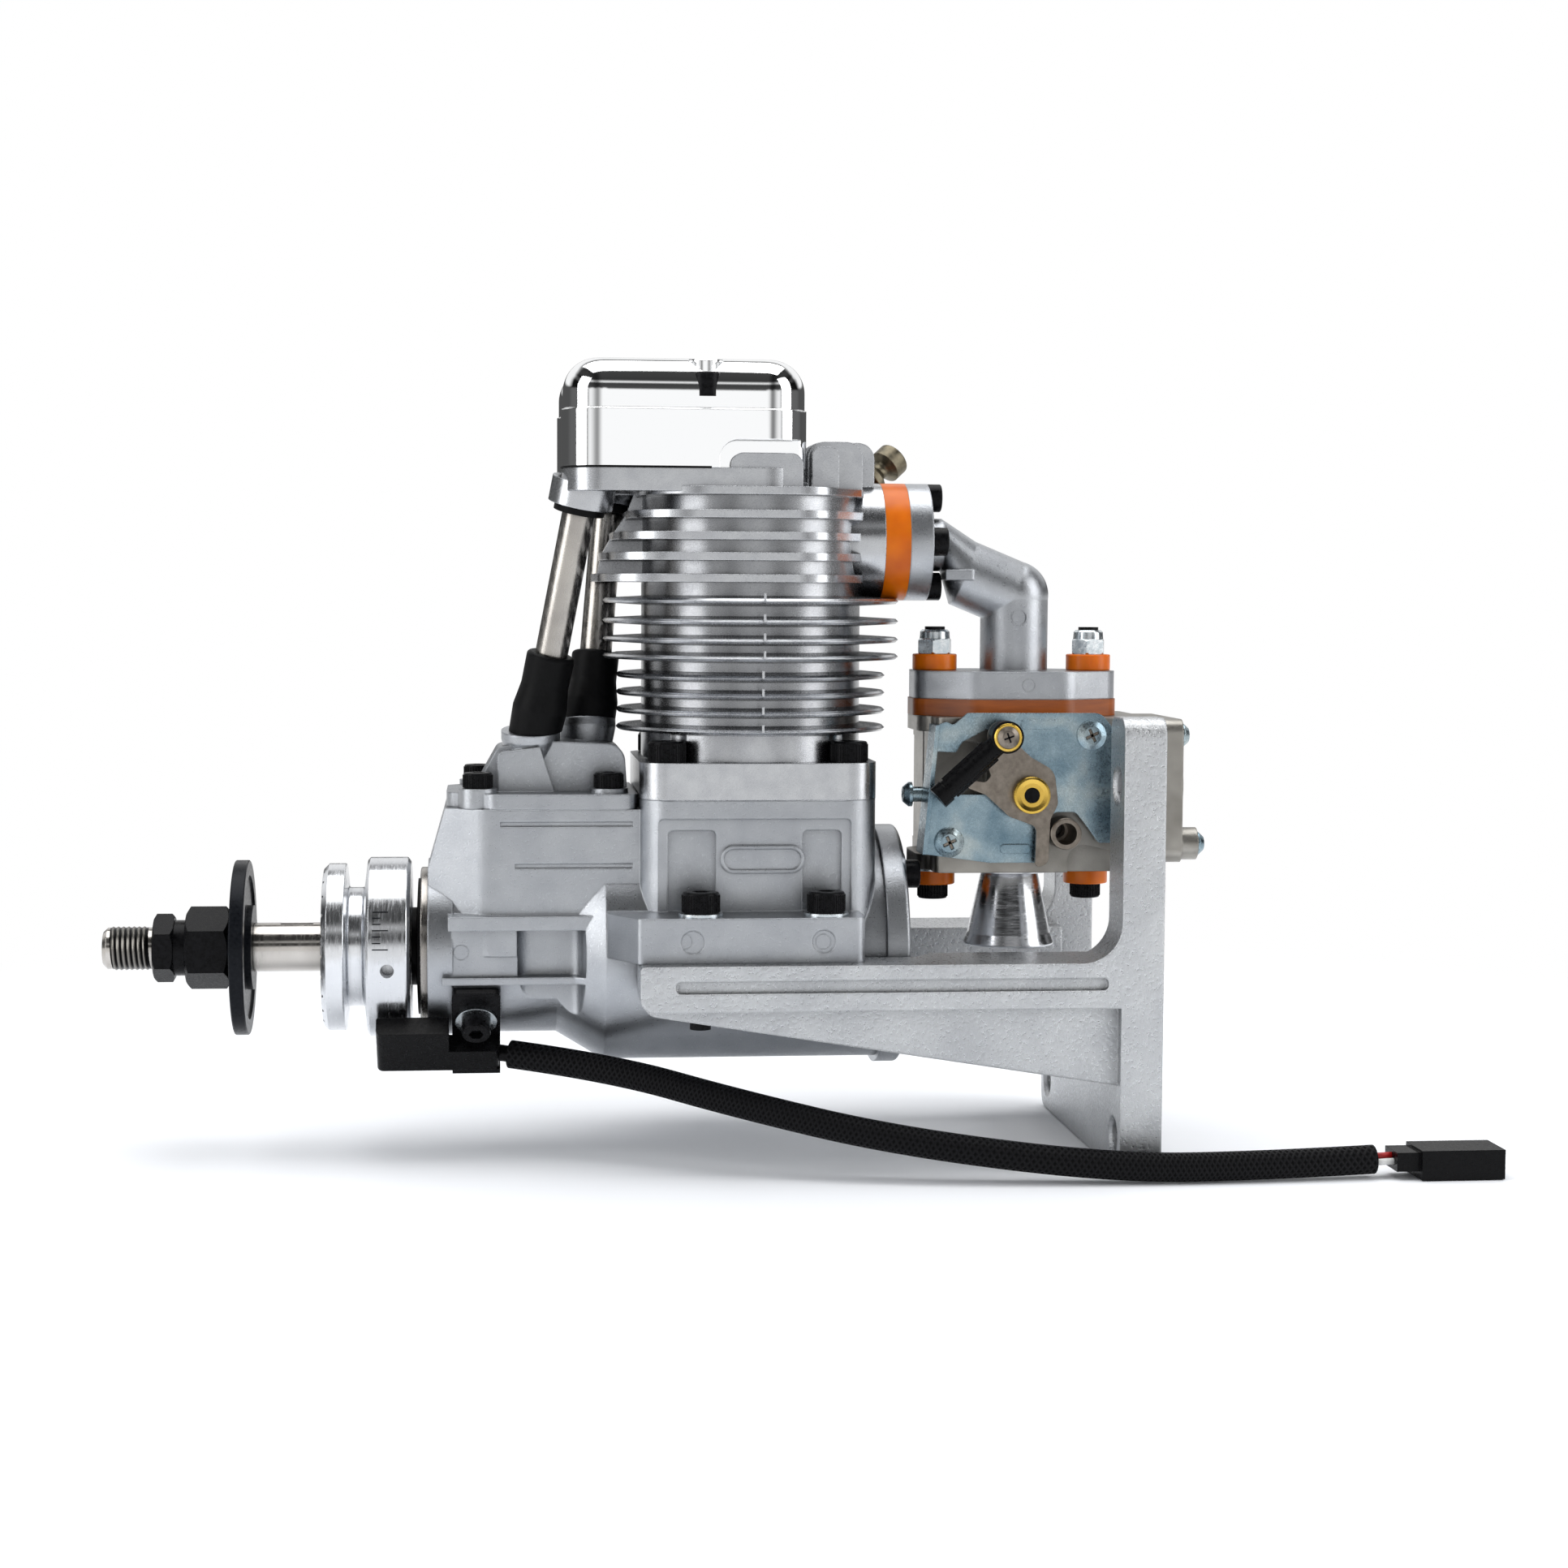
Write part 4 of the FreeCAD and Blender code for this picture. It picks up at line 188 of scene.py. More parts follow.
def dull(name, low, high, rough, grain, depth, metallic=0.0):
    """Plastic, rubber and oxidised metal: fine grain without lines. The blacks have little gloss."""
    paint = Paint(name, high, metallic, rough)
    paint.soft_edges(0.0002)
    fine = paint.noise(grain, 3.0)
    paint.color(paint.ramp(fine, [(0.3, low), (0.7, high)]))
    paint.rough(paint.grey(fine, rough - 0.08, rough + 0.08))
    if max(high[:3]) < black_limit:
        paint.shader.inputs["Specular IOR Level"].default_value = black_gloss
    paint.bump(fine, depth)
    return paint.done()


def amber(name):
    """Clear orange plastic with a little light inside it."""
    low = srgb(196, 90, 0)
    high = srgb(220, 112, 0)
    paint = Paint(name, high, 0.0, 0.3)
    paint.soft_edges(0.0002)
    layers = paint.noise(160, 2.0)
    paint.color(paint.ramp(layers, [(0.3, low), (0.7, high)]))
    paint.shader.inputs["Specular IOR Level"].default_value = 0.3
    paint.shader.inputs["Subsurface Weight"].default_value = 0.25
    paint.shader.inputs["Subsurface Radius"].default_value = (0.002, 0.0009, 0.0002)
    paint.shader.inputs["Subsurface Scale"].default_value = 1.0
    paint.bump(paint.noise(1500, 2.0), 0.000008)
    return paint.done()


def dark_amber(name):
    """Brown laminate, layered along Z."""
    low = srgb(134, 62, 2)
    high = srgb(164, 82, 6)
    paint = Paint(name, high, 0.0, 0.34)
    paint.soft_edges(0.0002)
    layers = paint.noise(300, 3.0, (0.4, 0.4, 3.0))
    paint.color(paint.ramp(layers, [(0.3, low), (0.7, high)]))
    paint.bump(paint.noise(1800, 3.0), 0.00001)
    return paint.done()


def zinc(name):
    """Passivated zinc: blue and grey clouds under a spotty gloss."""
    clouds = [(0.3, srgb(100, 124, 138)), (0.55, srgb(140, 160, 170)), (0.75, srgb(178, 188, 188))]
    paint = Paint(name, clouds[-1][1], 1.0, 0.26)
    paint.soft_edges(0.00025)
    spots = paint.noise(1500, 4.0, roughness=0.8)
    wide = paint.noise(120, 2.0)
    paint.color(paint.ramp(wide, clouds))
    paint.rough(paint.grey(spots, 0.16, 0.42))
    paint.bump(spots, 0.000018)
    return paint.done()


def braid(name):
    """Woven sleeve: two sets of diagonal strands that show as relief and gloss, with painted shade between
    the strands.
    """
    low = srgb(3, 3, 4)
    high = srgb(16, 16, 18)
    paint = Paint(name, high, 0.0, 0.6)
    scale_along = 47.12385
    scale_round = 3.14159
    heights = []
    for way in (1.0, -1.0):
        wave = paint.add("ShaderNodeTexWave", wave_type="BANDS", bands_direction="X", wave_profile="SIN")
        wave.inputs["Scale"].default_value = 1.0
        wave.inputs["Distortion"].default_value = 0.0
        mapping = paint.add("ShaderNodeMapping")
        mapping.inputs["Scale"].default_value = (scale_along, scale_round * way, 0.0)
        mix = paint.add("ShaderNodeVectorMath", operation="DOT_PRODUCT")
        mix.inputs[1].default_value = (1.0, 1.0, 0.0)
        combine = paint.add("ShaderNodeCombineXYZ")
        paint.link(paint.coord.outputs["UV"], mapping.inputs["Vector"])
        paint.link(mapping.outputs["Vector"], mix.inputs[0])
        paint.link(mix.outputs["Value"], combine.inputs["X"])
        paint.link(combine.outputs["Vector"], wave.inputs["Vector"])
        heights.append(wave.outputs["Fac"])
    top = paint.add("ShaderNodeMath", operation="MAXIMUM")
    paint.link(heights[0], top.inputs[0])
    paint.link(heights[1], top.inputs[1])
    paint.color(paint.ramp(top.outputs["Value"], [(0.3, low), (0.95, high)]))
    paint.rough(paint.grey(top.outputs["Value"], 0.8, 0.4, 0.3, 1.0))
    paint.shader.inputs["Specular IOR Level"].default_value = black_gloss
    paint.bump(top.outputs["Value"], 0.00018)
    paint.bump(paint.noise(3000, 2.0), 0.00003)
    return paint.done()


def mirror(name):
    """Chrome plate: a mirror with slight waves."""
    paint = Paint(name, srgb(249, 250, 251), 1.0, 0.035)
    paint.soft_edges(0.0004)
    paint.rough(paint.grey(paint.noise(300, 3.0), 0.02, 0.06))
    paint.bump(paint.noise(70, 2.0), 0.00001)
    return paint.done()


# One paint for each material slot
finish = {
    "cast_alloy": cast("cast_alloy", srgb(166, 169, 174), srgb(178, 181, 185), 0.32, 2600, 0.00005, 0.0005),
    "mount_alloy": cast("mount_alloy", srgb(190, 192, 195), srgb(204, 206, 208), 0.34, 1500, 0.0002,
                        0.0007, 0.1),
    "cylinder_alloy": cast("cylinder_alloy", srgb(182, 184, 188), srgb(194, 196, 199), 0.24, 5200, 0.00001,
                           0.00025),
    "carb_alloy": cast("carb_alloy", srgb(136, 133, 127), srgb(168, 165, 159), 0.36, 2200, 0.00004, 0.0004),
    "turned_alloy": turned("turned_alloy", srgb(214, 216, 220), srgb(230, 232, 235), 0.2, (3.0, 0.4, 0.4)),
    "ground_steel": turned("ground_steel", srgb(158, 154, 150), srgb(182, 178, 172), 0.24, (3.0, 0.5, 0.5)),
    "dark_steel": dull("dark_steel", srgb(112, 104, 96), srgb(146, 138, 128), 0.36, 700, 0.00001, 1.0),
    "black_alloy": dull("black_alloy", srgb(16, 18, 22), srgb(26, 28, 32), 0.34, 1600, 0.000008, 0.3),
    "black_steel": dull("black_steel", srgb(10, 10, 11), srgb(24, 24, 26), 0.3, 1200, 0.000015, 0.3),
    "amber_plastic": amber("amber_plastic"),
    "zinc_plate": zinc("zinc_plate"),
    "rubber": dull("rubber", srgb(8, 8, 9), srgb(15, 15, 16), 0.48, 900, 0.00002),
    "gasket": dull("gasket", srgb(16, 16, 17), srgb(30, 30, 31), 0.7, 1500, 0.00002),
    "black_plastic": dull("black_plastic", srgb(8, 8, 9), srgb(15, 15, 16), 0.3, 1400, 0.000012),
    "braid": braid("braid"),
    "brass": turned("brass", srgb(204, 168, 74), srgb(226, 190, 96), 0.2, (0.5, 3.0, 0.5)),
    "chrome": mirror("chrome"),
    "wire_skin": dull("wire_red", srgb(150, 20, 20), srgb(178, 28, 26), 0.4, 900, 0.00001),
}
white_wire = dull("wire_white", srgb(214, 214, 210), srgb(232, 232, 230), 0.4, 900, 0.00001)
black_wire = dull("wire_black", srgb(16, 16, 17), srgb(26, 26, 28), 0.4, 900, 0.00001)
insulator = dark_amber("carb_insulator_brown")
terminal = dull("plug_terminal", srgb(84, 80, 68), srgb(126, 118, 100), 0.4, 800, 0.00002, 1.0)
polished = turned("polished_bell", srgb(196, 198, 202), srgb(216, 218, 222), 0.19, (0.4, 0.4, 3.0))
shaft_line = turned("shaft_line", srgb(178, 174, 169), srgb(200, 196, 191), 0.16, (3.0, 0.4, 0.4))

bright_zinc = dull("bright_zinc", srgb(192, 202, 208), srgb(220, 224, 226), 0.22, 1200, 0.00001, 1.0)
# Nodes that look different from the rest of their slot
special = {"zinc_hardware": bright_zinc, "carb_insulator": insulator, "spark_plug": terminal,
           "bell_mouth": polished, "crankshaft": shaft_line}
slot_of = {s["node"]: s["material_slot"] for s in record["subparts"]}
for name, obj in nodes.items():
    mat = special.get(name, finish[slot_of[name]])
    if not obj.material_slots:
        obj.data.materials.append(mat)
    for place in obj.material_slots:
        place.material = mat


def piece(name, verts, faces, mat, body, smooth=False):
    """A visible piece from points in millimetres, which rides on a body of the frame."""
    mesh = bpy.data.meshes.new(name)
    mesh.from_pydata([tuple(c * MM for c in v) for v in verts], [], faces)
    mesh.update()
    mesh.materials.append(mat)
    obj = bpy.data.objects.new(name, mesh)
    bpy.context.scene.collection.objects.link(obj)
    if smooth:
        for polygon in mesh.polygons:
            polygon.use_smooth = True
    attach(obj, body)
    return obj


def axes(direction):
    """The unit direction and two unit vectors across it."""
    d = Vector(direction).normalized()
    helper = Vector((0, 0, 1)) if abs(d.z) < 0.9 else Vector((1, 0, 0))
    a = d.cross(helper).normalized()
    return d, a, d.cross(a).normalized()


class Solid:
    """Gathers simple closed forms into one mesh."""

    def __init__(self):
        self.verts = []
        self.faces = []

    def box(self, centre, u, v, w):
        """A box from its centre and three half edges."""
        base = len(self.verts)
        centre, u, v, w = Vector(centre), Vector(u), Vector(v), Vector(w)
        for i in (-1, 1):
            for j in (-1, 1):
                for k in (-1, 1):
                    self.verts.append(tuple(centre + u * i + v * j + w * k))
        for f in ((0, 1, 3, 2), (4, 6, 7, 5), (0, 4, 5, 1), (2, 3, 7, 6), (0, 2, 6, 4), (1, 5, 7, 3)):
            self.faces.append([base + n for n in f])

    def bar(self, centre, turn, half_long, half_wide, half_deep):
        """A flat bar across Y, turned by that many degrees about Y."""
        t = math.radians(turn)
        along = Vector((math.cos(t), 0, math.sin(t)))
        across = Vector((-math.sin(t), 0, math.cos(t)))
        self.box(centre, along * half_long, across * half_wide, (0, half_deep, 0))

    def lathe(self, origin, axis, profile, count=48):
        """profile: (radius, distance along the axis) from one end to the other, closed by its end rings."""
        origin = Vector(origin)
        d, a, b = axes(axis)
        base = len(self.verts)
        rings = len(profile)
        for r, s in profile:
            for i in range(count):
                t = 2 * math.pi * i / count
                self.verts.append(tuple(origin + d * s + (a * math.cos(t) + b * math.sin(t)) * r))
        for k in range(rings):
            n = (k + 1) % rings
            for i in range(count):
                j = (i + 1) % count
                self.faces.append([base + k * count + i, base + k * count + j, base + n * count + j,
                                   base + n * count + i])

    def disc(self, origin, axis, radius, height, count=40):
        """A short closed cylinder that stands on its origin."""
        origin = Vector(origin)
        d, a, b = axes(axis)
        base = len(self.verts)
        for s in (0.0, height):
            for i in range(count):
                t = 2 * math.pi * i / count
                self.verts.append(tuple(origin + d * s + (a * math.cos(t) + b * math.sin(t)) * radius))
        for i in range(count):
            j = (i + 1) % count
            self.faces.append([base + i, base + j, base + count + j, base + count + i])
        self.faces.append([base + i for i in reversed(range(count))])
        self.faces.append([base + count + i for i in range(count)])


# Thread of the propeller stud: a ridge that winds along the bare end
thread_pitch = 1.25
start_x = -199.5
end_x = -190.95
root = 4.005
crest = 4.24
points_round = 60
chamfer_rows = 4.0
ridge_slope = 2.6
verts = []
faces = []
thread_long = end_x - start_x
rows_per_turn = 8
rows = 60
for row in range(rows):
    for i in range(points_round):
        t = 2 * math.pi * i / points_round
        x = start_x + row / (rows - 1) * (thread_long - thread_pitch) + thread_pitch * i / points_round
        phase = (row % rows_per_turn) / rows_per_turn
        rise = max(0.0, 1.0 - abs(phase - 0.5) * ridge_slope)
        edge = min(1.0, row / chamfer_rows, (rows - 1 - row) / chamfer_rows)
        r = root + (crest - root) * rise * edge
        verts.append((x, r * math.cos(t), r * math.sin(t)))
for row in range(rows - 1):
    for i in range(points_round - 1):
        a = row * points_round + i
        faces.append([a, a + 1, a + points_round + 1, a + points_round])
    # The last column meets the first one of the row that lies a turn further on
    if row + rows_per_turn + 1 < rows:
        a = row * points_round + points_round - 1
        b = (row + rows_per_turn) * points_round
        faces.append([a, b, b + points_round, a + points_round])


def thread_steel():
    """Painted shade in the roots of the thread: dark there and bright on its crests."""
    bright = srgb(136, 133, 128)
    paint = Paint("thread_steel", bright, 1.0, 0.3)
    flat = paint.add("ShaderNodeVectorMath", operation="MULTIPLY")
    flat.inputs[1].default_value = (0.0, 1.0, 1.0)
    paint.link(paint.coord.outputs["Object"], flat.inputs[0])
    radius = paint.add("ShaderNodeVectorMath", operation="LENGTH")
    paint.link(flat.outputs["Vector"], radius.inputs[0])
    height = paint.grey(radius.outputs["Value"], 0.0, 1.0, root * MM, crest * MM)
    paint.color(paint.ramp(height, [(0.1, srgb(12, 12, 13)), (0.8, bright)]))
    return paint.done()


piece("stud_thread", verts, faces, thread_steel(), "crank_train")

# Timing marks on the rim of the drive hub: plain lines, no figures
rim_x = -148.4
rim_r = 17.5
mark_step = 4.0
half_wide = 0.11
half_deep = 0.03
marks = Solid()
for k in range(7):
    angle = math.radians(5 - 180 + mark_step * k)
    out = Vector((0, math.cos(angle), -math.sin(angle)))
    side = Vector((0, -out.z, out.y))
    half_long = 1.5 if k % 3 == 0 else 0.8
    centre = Vector((rim_x + half_long, 0, 0)) + out * rim_r
    marks.box(centre, (half_long, 0, 0), side * half_wide, out * half_deep)
piece("hub_marks", marks.verts, marks.faces, finish["black_alloy"], "crank_train")

# Parting line of the mould across the rims of the fins
cylinder_x = -75.0
low_fins = (43.2, 46.6, 50.0, 53.4)
high_fins = (57.1, 60.4, 64.0, 67.9)
half_fin = 0.75
seam = Solid()
for z in low_fins + high_fins:
    rim_y = -26.5 if z in low_fins else -29.1
    seam.box((cylinder_x, rim_y, z + half_fin), (0.22, 0, 0), (0, 0.14, 0), (0, 0, 0.74))
piece("fin_seam", seam.verts, seam.faces, finish["cylinder_alloy"], "engine")


# Marks of the mould's ejector pins, laid on the surface that they touch
well_in_front = -80.0


def on_front(node, x, z):
    """Where a line along +Y first meets the node, and the surface's normal there."""
    hit, place, normal, face = nodes[node].ray_cast(Vector((x, well_in_front, z)) * MM, Vector((0, 1, 0)))
    return (place / MM, normal) if hit else (None, None)


pin_places = (("crankcase", -90.15, 4.6, 1.5), ("crankcase", -64.1, 4.4, 1.5),
              ("crankcase", -131.6, 0.8, 1.5), ("inlet_elbow", -22.6, 64.9, 1.6),
              ("inlet_elbow", -21.6, 51.8, 1.3))
pins = Solid()
for node, x, z, outer in pin_places:
    place, normal = on_front(node, x, z)
    inner = outer - 0.16
    if place is not None:
        pins.lathe(place - normal * 0.05, normal, [(inner, 0.0), (outer, 0.0), (outer, 0.11), (inner, 0.11)])
piece("ejector_marks", pins.verts, pins.faces, finish["cast_alloy"], "engine")

# Ball link: brass ring round the screw, and dark bars on its head: painted shade in the slots
to_front = (0, -1, 0)
link_x = -28.2
link_z = 42.3
ring_y = -26.0
slots_y = -27.32
ring_form = [(2.14, 0.0), (2.7, 0.0), (2.7, 0.45), (2.5, 0.6), (2.14, 0.6)]
ring = Solid()
ring.lathe((link_x, ring_y, link_z), to_front, ring_form)
piece("link_ring", ring.verts, ring.faces, finish["brass"], "throttle")
slots = Solid()
for turn in (20, 110):
    slots.bar((link_x, slots_y, link_z), turn, 1.0, 0.17, 0.03)
piece("link_slot_shade", slots.verts, slots.faces, finish["black_steel"], "throttle")

# Heads of the cover screws, which stand in the round edge of each cover
screw_x = -85.4
screw_y = 20.6
screw_z = 106.2
head_form = [(1.3, 0.0), (2.75, 0.0), (2.75, 4.3), (2.45, 4.6), (1.3, 4.6)]
heads = Solid()
for hand in (-1, 1):
    heads.lathe((screw_x, hand * screw_y, screw_z), (0, 0, 1), head_form)
    heads.disc((screw_x, hand * screw_y, screw_z + 1.4), (0, 0, 1), 1.35, 0.6, 6)
piece("cover_screw_heads", heads.verts, heads.faces, finish["black_steel"], "engine")

# Seal that shows as a dark line under each rocker cover, from the inner side round the front to the head fin
cover_front = -112.6
cover_half = 9.7
cover_round = 8.5
cover_y = 13.5
seal_low = 92.75
seal_high = 93.15
quarter = [math.pi / 2 * i / 14 for i in range(15)]


def seal_edge(hand, off):
    """The cover's outline, moved outward by off: the outer side, the round front, the inner side."""
    r = cover_round + off
    turn_x = cover_front + cover_round
    turn_y = cover_half - cover_round
    row = [(-84.6, hand * (cover_y + cover_half + off))]
    row += [(turn_x - r * math.sin(t), hand * (cover_y + turn_y + r * math.cos(t))) for t in quarter]
    row += [(turn_x - r * math.cos(t), hand * (cover_y - turn_y - r * math.sin(t))) for t in quarter]
    row.append((-96.0, hand * (cover_y - cover_half - off)))
    return row


seals = Solid()
for hand in (-1, 1):
    rows = [seal_edge(hand, 0.06), seal_edge(hand, -0.7)]
    base = len(seals.verts)
    count = len(rows[0])
    for z in (seal_low, seal_high):
        for row in rows:
            seals.verts += [(x, y, z) for x, y in row]
    for i in range(count - 1):
        for near, far in ((0, 1), (1, 3), (3, 2), (2, 0)):
            a = base + near * count + i
            b = base + far * count + i
            seals.faces.append([a, a + 1, b + 1, b])
    for i in (0, count - 1):
        seals.faces.append([base + n * count + i for n in (0, 1, 3, 2)])
piece("cover_seals", seals.verts, seals.faces, finish["rubber"], "engine")

# Valve springs: each coil is a copy of its spring that rides on the engine in the spring's place
springs = (("spring_in", -1, "inlet_valve_slide", 0.66), ("spring_ex", 1, "exhaust_valve_slide", 0.51))
for name, hand, joint, kept in springs:
    coil = bpy.data.objects.new(name + "_coil", nodes[name].data.copy())
    bpy.context.scene.collection.objects.link(coil)
    coil.matrix_world = nodes[name].matrix_world.copy()
    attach(coil, "engine")
    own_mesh(coil)
    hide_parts(name)

# Brass cup of the lever nut, and dark crosses on the plate screws: painted shade in their cross recesses
nut_x = -22.7
nut_y = -22.45
nut_z = 31.0
cup_form = [(1.5, 0.0), (3.4, 0.0), (3.55, 0.3), (3.1, 0.42), (2.3, 0.22), (1.5, 0.22)]
cup = Solid()
cup.lathe((nut_x, nut_y, nut_z), to_front, cup_form)
piece("nut_cup", cup.verts, cup.faces, finish["brass"], "throttle")
core = Solid()
core.disc((nut_x, nut_y - 0.01, nut_z), to_front, 1.52, 0.1)
piece("nut_core", core.verts, core.faces, finish["black_steel"], "throttle")
plate_screws = ((-10.3, 42.3), (-38.0, 21.6))
screw_face_y = -18.78
cross = Solid()
for x, z in plate_screws:
    for turn in (25, 115):
        cross.bar((x, screw_face_y, z), turn, 1.25, 0.27, 0.16)
piece("screw_cross_shade", cross.verts, cross.faces, finish["dark_steel"], "engine")

# Knurling on the heads of the cap screws
knurls = Solid()


def knurl(seat, axis, radius, height, count):
    """Small ridges round a screw head that stands on its seat."""
    d, a, b = axes(axis)
    for i in range(count):
        t = 2 * math.pi * i / count
        out = a * math.cos(t) + b * math.sin(t)
        side = d.cross(out)
        centre = Vector(seat) + d * (height * 0.46) + out * (radius + 0.01)
        knurls.box(centre, d * (height * 0.4), (side * 0.7 + out * 0.7) * 0.1, (side * 0.7 - out * 0.7) * 0.1)


# Places along X, distance from the middle, height of the seat, radius and height of the head, ridges
upright_screws = (((-86.8, -63.1), 28.6, 9.5, 3.5, 4.0, 40),
                  ((-92.5, -57.5), 17.5, 37.2, 3.5, 4.0, 40),
                  ((-128.4, -103.4), 12.6, 31.9, 2.75, 3.0, 32))
for places, aside, seat, radius, height, ridges in upright_screws:
    for hand in (-1, 1):
        for x in places:
            knurl((x, hand * aside, seat), (0, 0, 1), radius, height, ridges)
for x in (-38.2, -7.2):
    knurl((x, 0, 11.8), (0, 0, -1), 2.9, 2.9, 32)
piece("screw_knurling", knurls.verts, knurls.faces, finish["black_steel"], "engine")

# Sensor lead in its woven sleeve
sleeve_r = 2.75
wire_r = 0.62
wire_long = 5.4
wire_tuck = 0.8
route = [(-122.2, -10.46, -19.87), (-103.0, -17.5, -21.6), (-80.0, -30.5, -26.4), (-51.0, -39.8, -32.2),
         (-10.0, -43.5, -37.25), (19.0, -43.0, -37.25), (39.8, -41.6, -36.7)]
curve = bpy.data.curves.new("lead_sleeve", "CURVE")
curve.dimensions = "3D"
spline = curve.splines.new("NURBS")
spline.points.add(len(route) - 1)
for point, place in zip(spline.points, route):
    point.co = (place[0] * MM, place[1] * MM, place[2] * MM, 1.0)
spline.order_u = 3
spline.use_endpoint_u = True
spline.resolution_u = 24
curve.resolution_u = 24
curve.bevel_depth = sleeve_r * MM
curve.bevel_resolution = 8
curve.use_fill_caps = True
curve.materials.append(finish["braid"])
sleeve = bpy.data.objects.new("lead_sleeve", curve)
bpy.context.scene.collection.objects.link(sleeve)
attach(sleeve, "engine")
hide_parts("sensor_lead")

# Three insulated wires between the sleeve and the plug
heading = (Vector(route[-1]) - Vector(route[-2])).normalized()
across = heading.cross(Vector((0, 0, 1))).normalized()
upward = across.cross(heading)
strands = ((-1.3, -0.3, black_wire, "wire_black"), (0.0, 0.6, finish["wire_skin"], "wire_red"),
           (1.3, -0.3, white_wire, "wire_white"))
for offset, rise, mat, name in strands:
    strand = Solid()
    low = Vector(route[-1]) + across * offset + upward * rise
    form = [(0.0, 0.0), (wire_r, 0.0), (wire_r, wire_long), (0.0, wire_long)]
    strand.lathe(low - heading * wire_tuck, heading, form, 20)
    wire = piece(name, strand.verts, strand.faces, mat, "engine", True)
    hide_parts("sensor_wires")


def floor_paint():
    """Pale near the object, where it keeps the shadow, and white further away."""
    white_from = 0.14
    white_all = 0.34
    mat = bpy.data.materials.new("floor")
    mat.use_nodes = True
    tree = mat.node_tree
    shade = tree.nodes["Principled BSDF"]
    shade.inputs["Base Color"].default_value = (0.92, 0.93, 0.95, 1.0)
    shade.inputs["Roughness"].default_value = 0.6
    glow = tree.nodes.new("ShaderNodeEmission")
    glow.inputs["Strength"].default_value = 1.0
    glow.inputs["Color"].default_value = (1.0, 1.0, 1.0, 1.0)
    where = tree.nodes.new("ShaderNodeTexCoord")
    apart = tree.nodes.new("ShaderNodeVectorMath")
    apart.operation = "LENGTH"
    tree.links.new(where.outputs["Object"], apart.inputs[0])
    far = tree.nodes.new("ShaderNodeMapRange")
    far.interpolation_type = "SMOOTHSTEP"
    far.inputs["From Min"].default_value = white_from
    far.inputs["From Max"].default_value = white_all
    tree.links.new(apart.outputs["Value"], far.inputs["Value"])
    # The white is for camera and glossy rays alone
    eye = tree.nodes.new("ShaderNodeLightPath")
    both = tree.nodes.new("ShaderNodeMath")
    both.operation = "ADD"
    both.use_clamp = True
    tree.links.new(eye.outputs["Is Camera Ray"], both.inputs[0])
    tree.links.new(eye.outputs["Is Glossy Ray"], both.inputs[1])
    share = tree.nodes.new("ShaderNodeMath")
    share.operation = "MULTIPLY"
    tree.links.new(both.outputs["Value"], share.inputs[0])
    tree.links.new(far.outputs["Result"], share.inputs[1])
    fade = tree.nodes.new("ShaderNodeMixShader")
    tree.links.new(share.outputs["Value"], fade.inputs["Fac"])
    tree.links.new(shade.outputs["BSDF"], fade.inputs[1])
    tree.links.new(glow.outputs["Emission"], fade.inputs[2])
    tree.links.new(fade.outputs["Shader"], tree.nodes["Material Output"].inputs["Surface"])
    return mat


# Floor under the mount and the plug
bpy.ops.mesh.primitive_plane_add(size=6.0, location=(-0.07, 0.0, -0.0402))
floor = bpy.context.active_object
floor.name = "floor"
floor.data.materials.append(floor_paint())

# World: white for the camera, a soft fill for the light, and a room of cards for what metal mirrors
world = bpy.data.worlds.new("studio")
bpy.context.scene.world = world
world.use_nodes = True
tree = world.node_tree
for node in list(tree.nodes):
    tree.nodes.remove(node)
out = tree.nodes.new("ShaderNodeOutputWorld")
path = tree.nodes.new("ShaderNodeLightPath")
coord = tree.nodes.new("ShaderNodeTexCoord")
split = tree.nodes.new("ShaderNodeSeparateXYZ")
tree.links.new(coord.outputs["Generated"], split.inputs["Vector"])


def bands(socket, stops):
    """Brightness by direction: stops are (the direction's part along one axis, brightness)."""
    node = tree.nodes.new("ShaderNodeMapRange")
    node.inputs["From Min"].default_value = -1.0
    node.inputs["From Max"].default_value = 1.0
    tree.links.new(socket, node.inputs["Value"])
    ramp = tree.nodes.new("ShaderNodeValToRGB")
    ramp.color_ramp.interpolation = "EASE"
    first_stop, last_stop = ramp.color_ramp.elements
    for stop, (place, value) in ((first_stop, stops[0]), (last_stop, stops[-1])):
        stop.position = (place + 1) / 2
        stop.color = (value, value, value, 1.0)
    for place, value in stops[1:-1]:
        ramp.color_ramp.elements.new((place + 1) / 2).color = (value, value, value, 1.0)
    tree.links.new(node.outputs["Result"], ramp.inputs["Fac"])
    return ramp.outputs["Color"]


def mixed(kind, fac, a, b):
    """Two colours, a socket or a value each, blended in the world's tree."""
    node = tree.nodes.new("ShaderNodeMix")
    node.data_type = "RGBA"
    node.blend_type = kind
    if isinstance(fac, float):
        node.inputs["Factor"].default_value = fac
    else:
        tree.links.new(fac, node.inputs["Factor"])
    for name, value in (("A", a), ("B", b)):
        socket = [i for i in node.inputs if i.name == name and i.type == "RGBA"][0]
        if isinstance(value, tuple):
            socket.default_value = value
        else:
            tree.links.new(value, socket)
    return [o for o in node.outputs if o.type == "RGBA"][0]


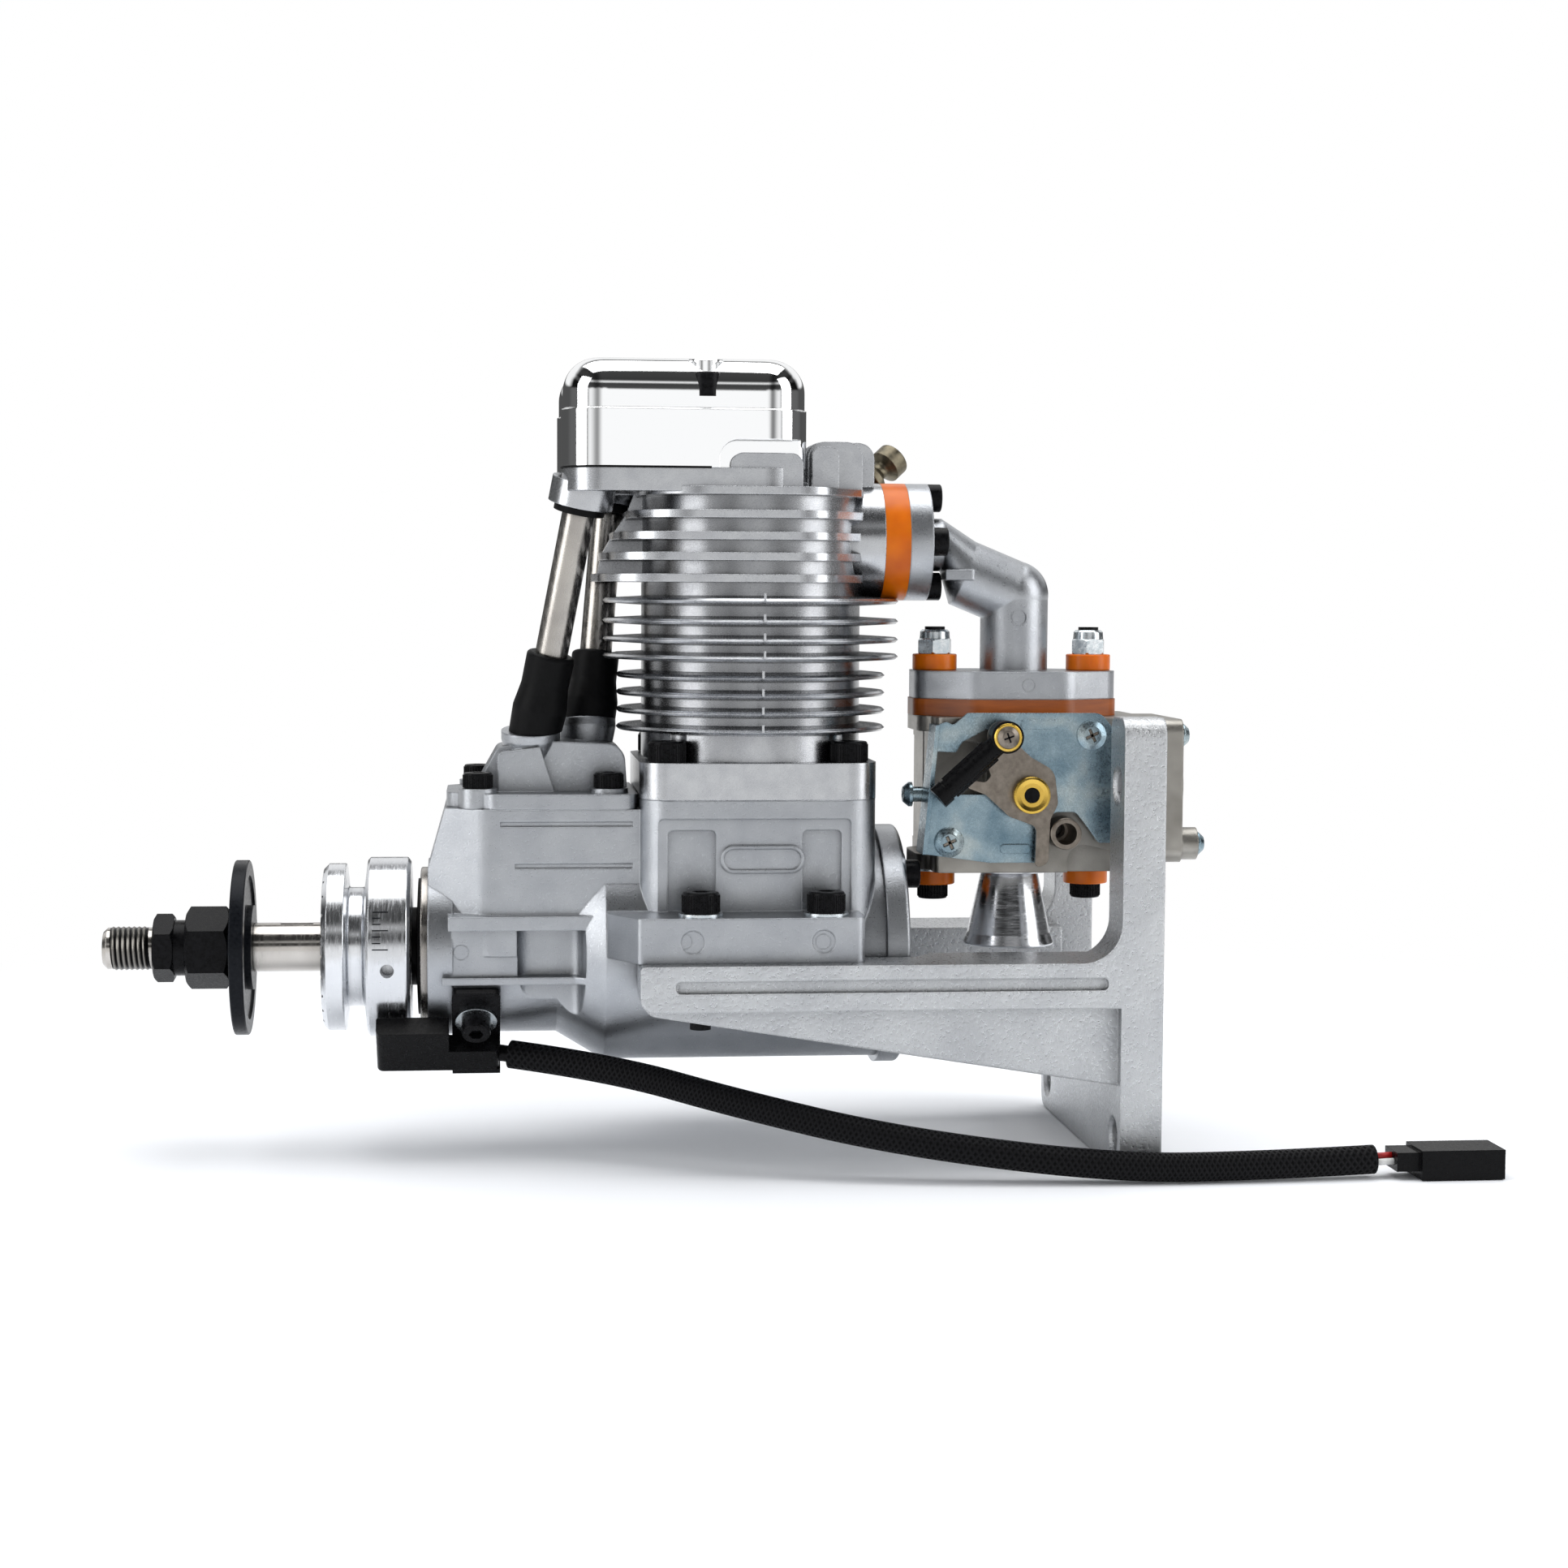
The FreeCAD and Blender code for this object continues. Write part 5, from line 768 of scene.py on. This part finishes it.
# What metal mirrors in front: white cards level with the camera, dark above them and at the sides
level = bands(split.outputs["Z"], [(-0.6, 0.3), (-0.2, 0.5), (-0.06, 1.0), (0.13, 1.0), (0.2, 0.06),
                                   (0.42, 0.05), (0.5, 0.85), (0.6, 0.04), (0.93, 0.05), (0.985, 1.0)])
across_room = bands(split.outputs["X"], [(-1.0, 0.12), (-0.84, 0.08), (-0.7, 0.9), (-0.42, 0.3), (-0.16, 1.0),
                                         (0.18, 1.0), (0.4, 0.22), (0.66, 0.9), (0.84, 0.06), (1.0, 0.12)])
room = mixed("MULTIPLY", 1.0, level, across_room)
# Behind the object: a dark line at its level, which draws the outline of polished metal, and white above it
behind = bands(split.outputs["Y"], [(0.25, 0.0), (0.6, 1.0)])
far_wall = bands(split.outputs["Z"], [(-0.03, 1.0), (0.01, 0.08), (0.16, 0.08), (0.24, 0.95), (0.62, 0.95),
                                      (0.72, 0.3)])
room = mixed("MIX", behind, room, far_wall)
seen = tree.nodes.new("ShaderNodeBackground")
seen.inputs["Strength"].default_value = 1.0
seen.inputs["Color"].default_value = (1.0, 1.0, 1.0, 1.0)
gloss = tree.nodes.new("ShaderNodeBackground")
tree.links.new(room, gloss.inputs["Color"])
fill = tree.nodes.new("ShaderNodeBackground")
fill.inputs["Color"].default_value = (0.93, 0.96, 1.0, 1.0)
fill.inputs["Strength"].default_value = 0.55
first = tree.nodes.new("ShaderNodeMixShader")
tree.links.new(path.outputs["Is Glossy Ray"], first.inputs["Fac"])
tree.links.new(fill.outputs["Background"], first.inputs[1])
tree.links.new(gloss.outputs["Background"], first.inputs[2])
second = tree.nodes.new("ShaderNodeMixShader")
tree.links.new(path.outputs["Is Camera Ray"], second.inputs["Fac"])
tree.links.new(first.outputs["Shader"], second.inputs[1])
tree.links.new(seen.outputs["Background"], second.inputs[2])
tree.links.new(second.outputs["Shader"], out.inputs["Surface"])


def lamp(name, place, target, size, power):
    """A white area lamp that faces the target."""
    data = bpy.data.lights.new(name, "AREA")
    data.shape = "RECTANGLE"
    data.size = size[0]
    data.size_y = size[1]
    data.energy = power
    obj = bpy.data.objects.new(name, data)
    bpy.context.scene.collection.objects.link(obj)
    obj.location = place
    obj.rotation_euler = (Vector(target) - Vector(place)).to_track_quat("-Z", "Y").to_euler()


middle = (-0.07, 0.0, 0.03)
lamp("top", (-0.07, 0.1, 0.9), middle, (1.0, 0.8), 7.0)
lamp("left", (-0.95, -0.35, 0.35), middle, (0.5, 0.9), 4.5)
lamp("right", (0.75, -0.4, 0.4), middle, (0.5, 0.9), 4.5)

# Camera at the photograph's angle
film_width = 36.0
photo_width = 1932.0
photo_focal = 3385.9
cam_data = bpy.data.cameras.new("camera")
cam_data.sensor_fit = "HORIZONTAL"
cam_data.sensor_width = film_width
cam_data.lens = film_width * photo_focal / photo_width
cam_data.clip_start = 0.01
camera = bpy.data.objects.new("camera", cam_data)
bpy.context.scene.collection.objects.link(camera)
yaw = math.radians(6.174)
dip = math.radians(3.998)
roll = math.radians(0.325)
ahead = Vector((math.sin(yaw) * math.cos(dip), math.cos(yaw) * math.cos(dip), -math.sin(dip)))
level_right = Vector((math.cos(yaw), -math.sin(yaw), 0.0))
level_up = level_right.cross(ahead)
film_right = level_right * math.cos(roll) + level_up * math.sin(roll)
film_up = level_up * math.cos(roll) - level_right * math.sin(roll)
facing = Matrix((film_right, film_up, -ahead)).transposed().to_4x4()
camera_place = Vector((-0.12656, -0.540, 0.06966))
camera.matrix_world = Matrix.Translation(camera_place) @ facing
bpy.context.scene.camera = camera
bpy.context.scene.view_settings.view_transform = "Standard"
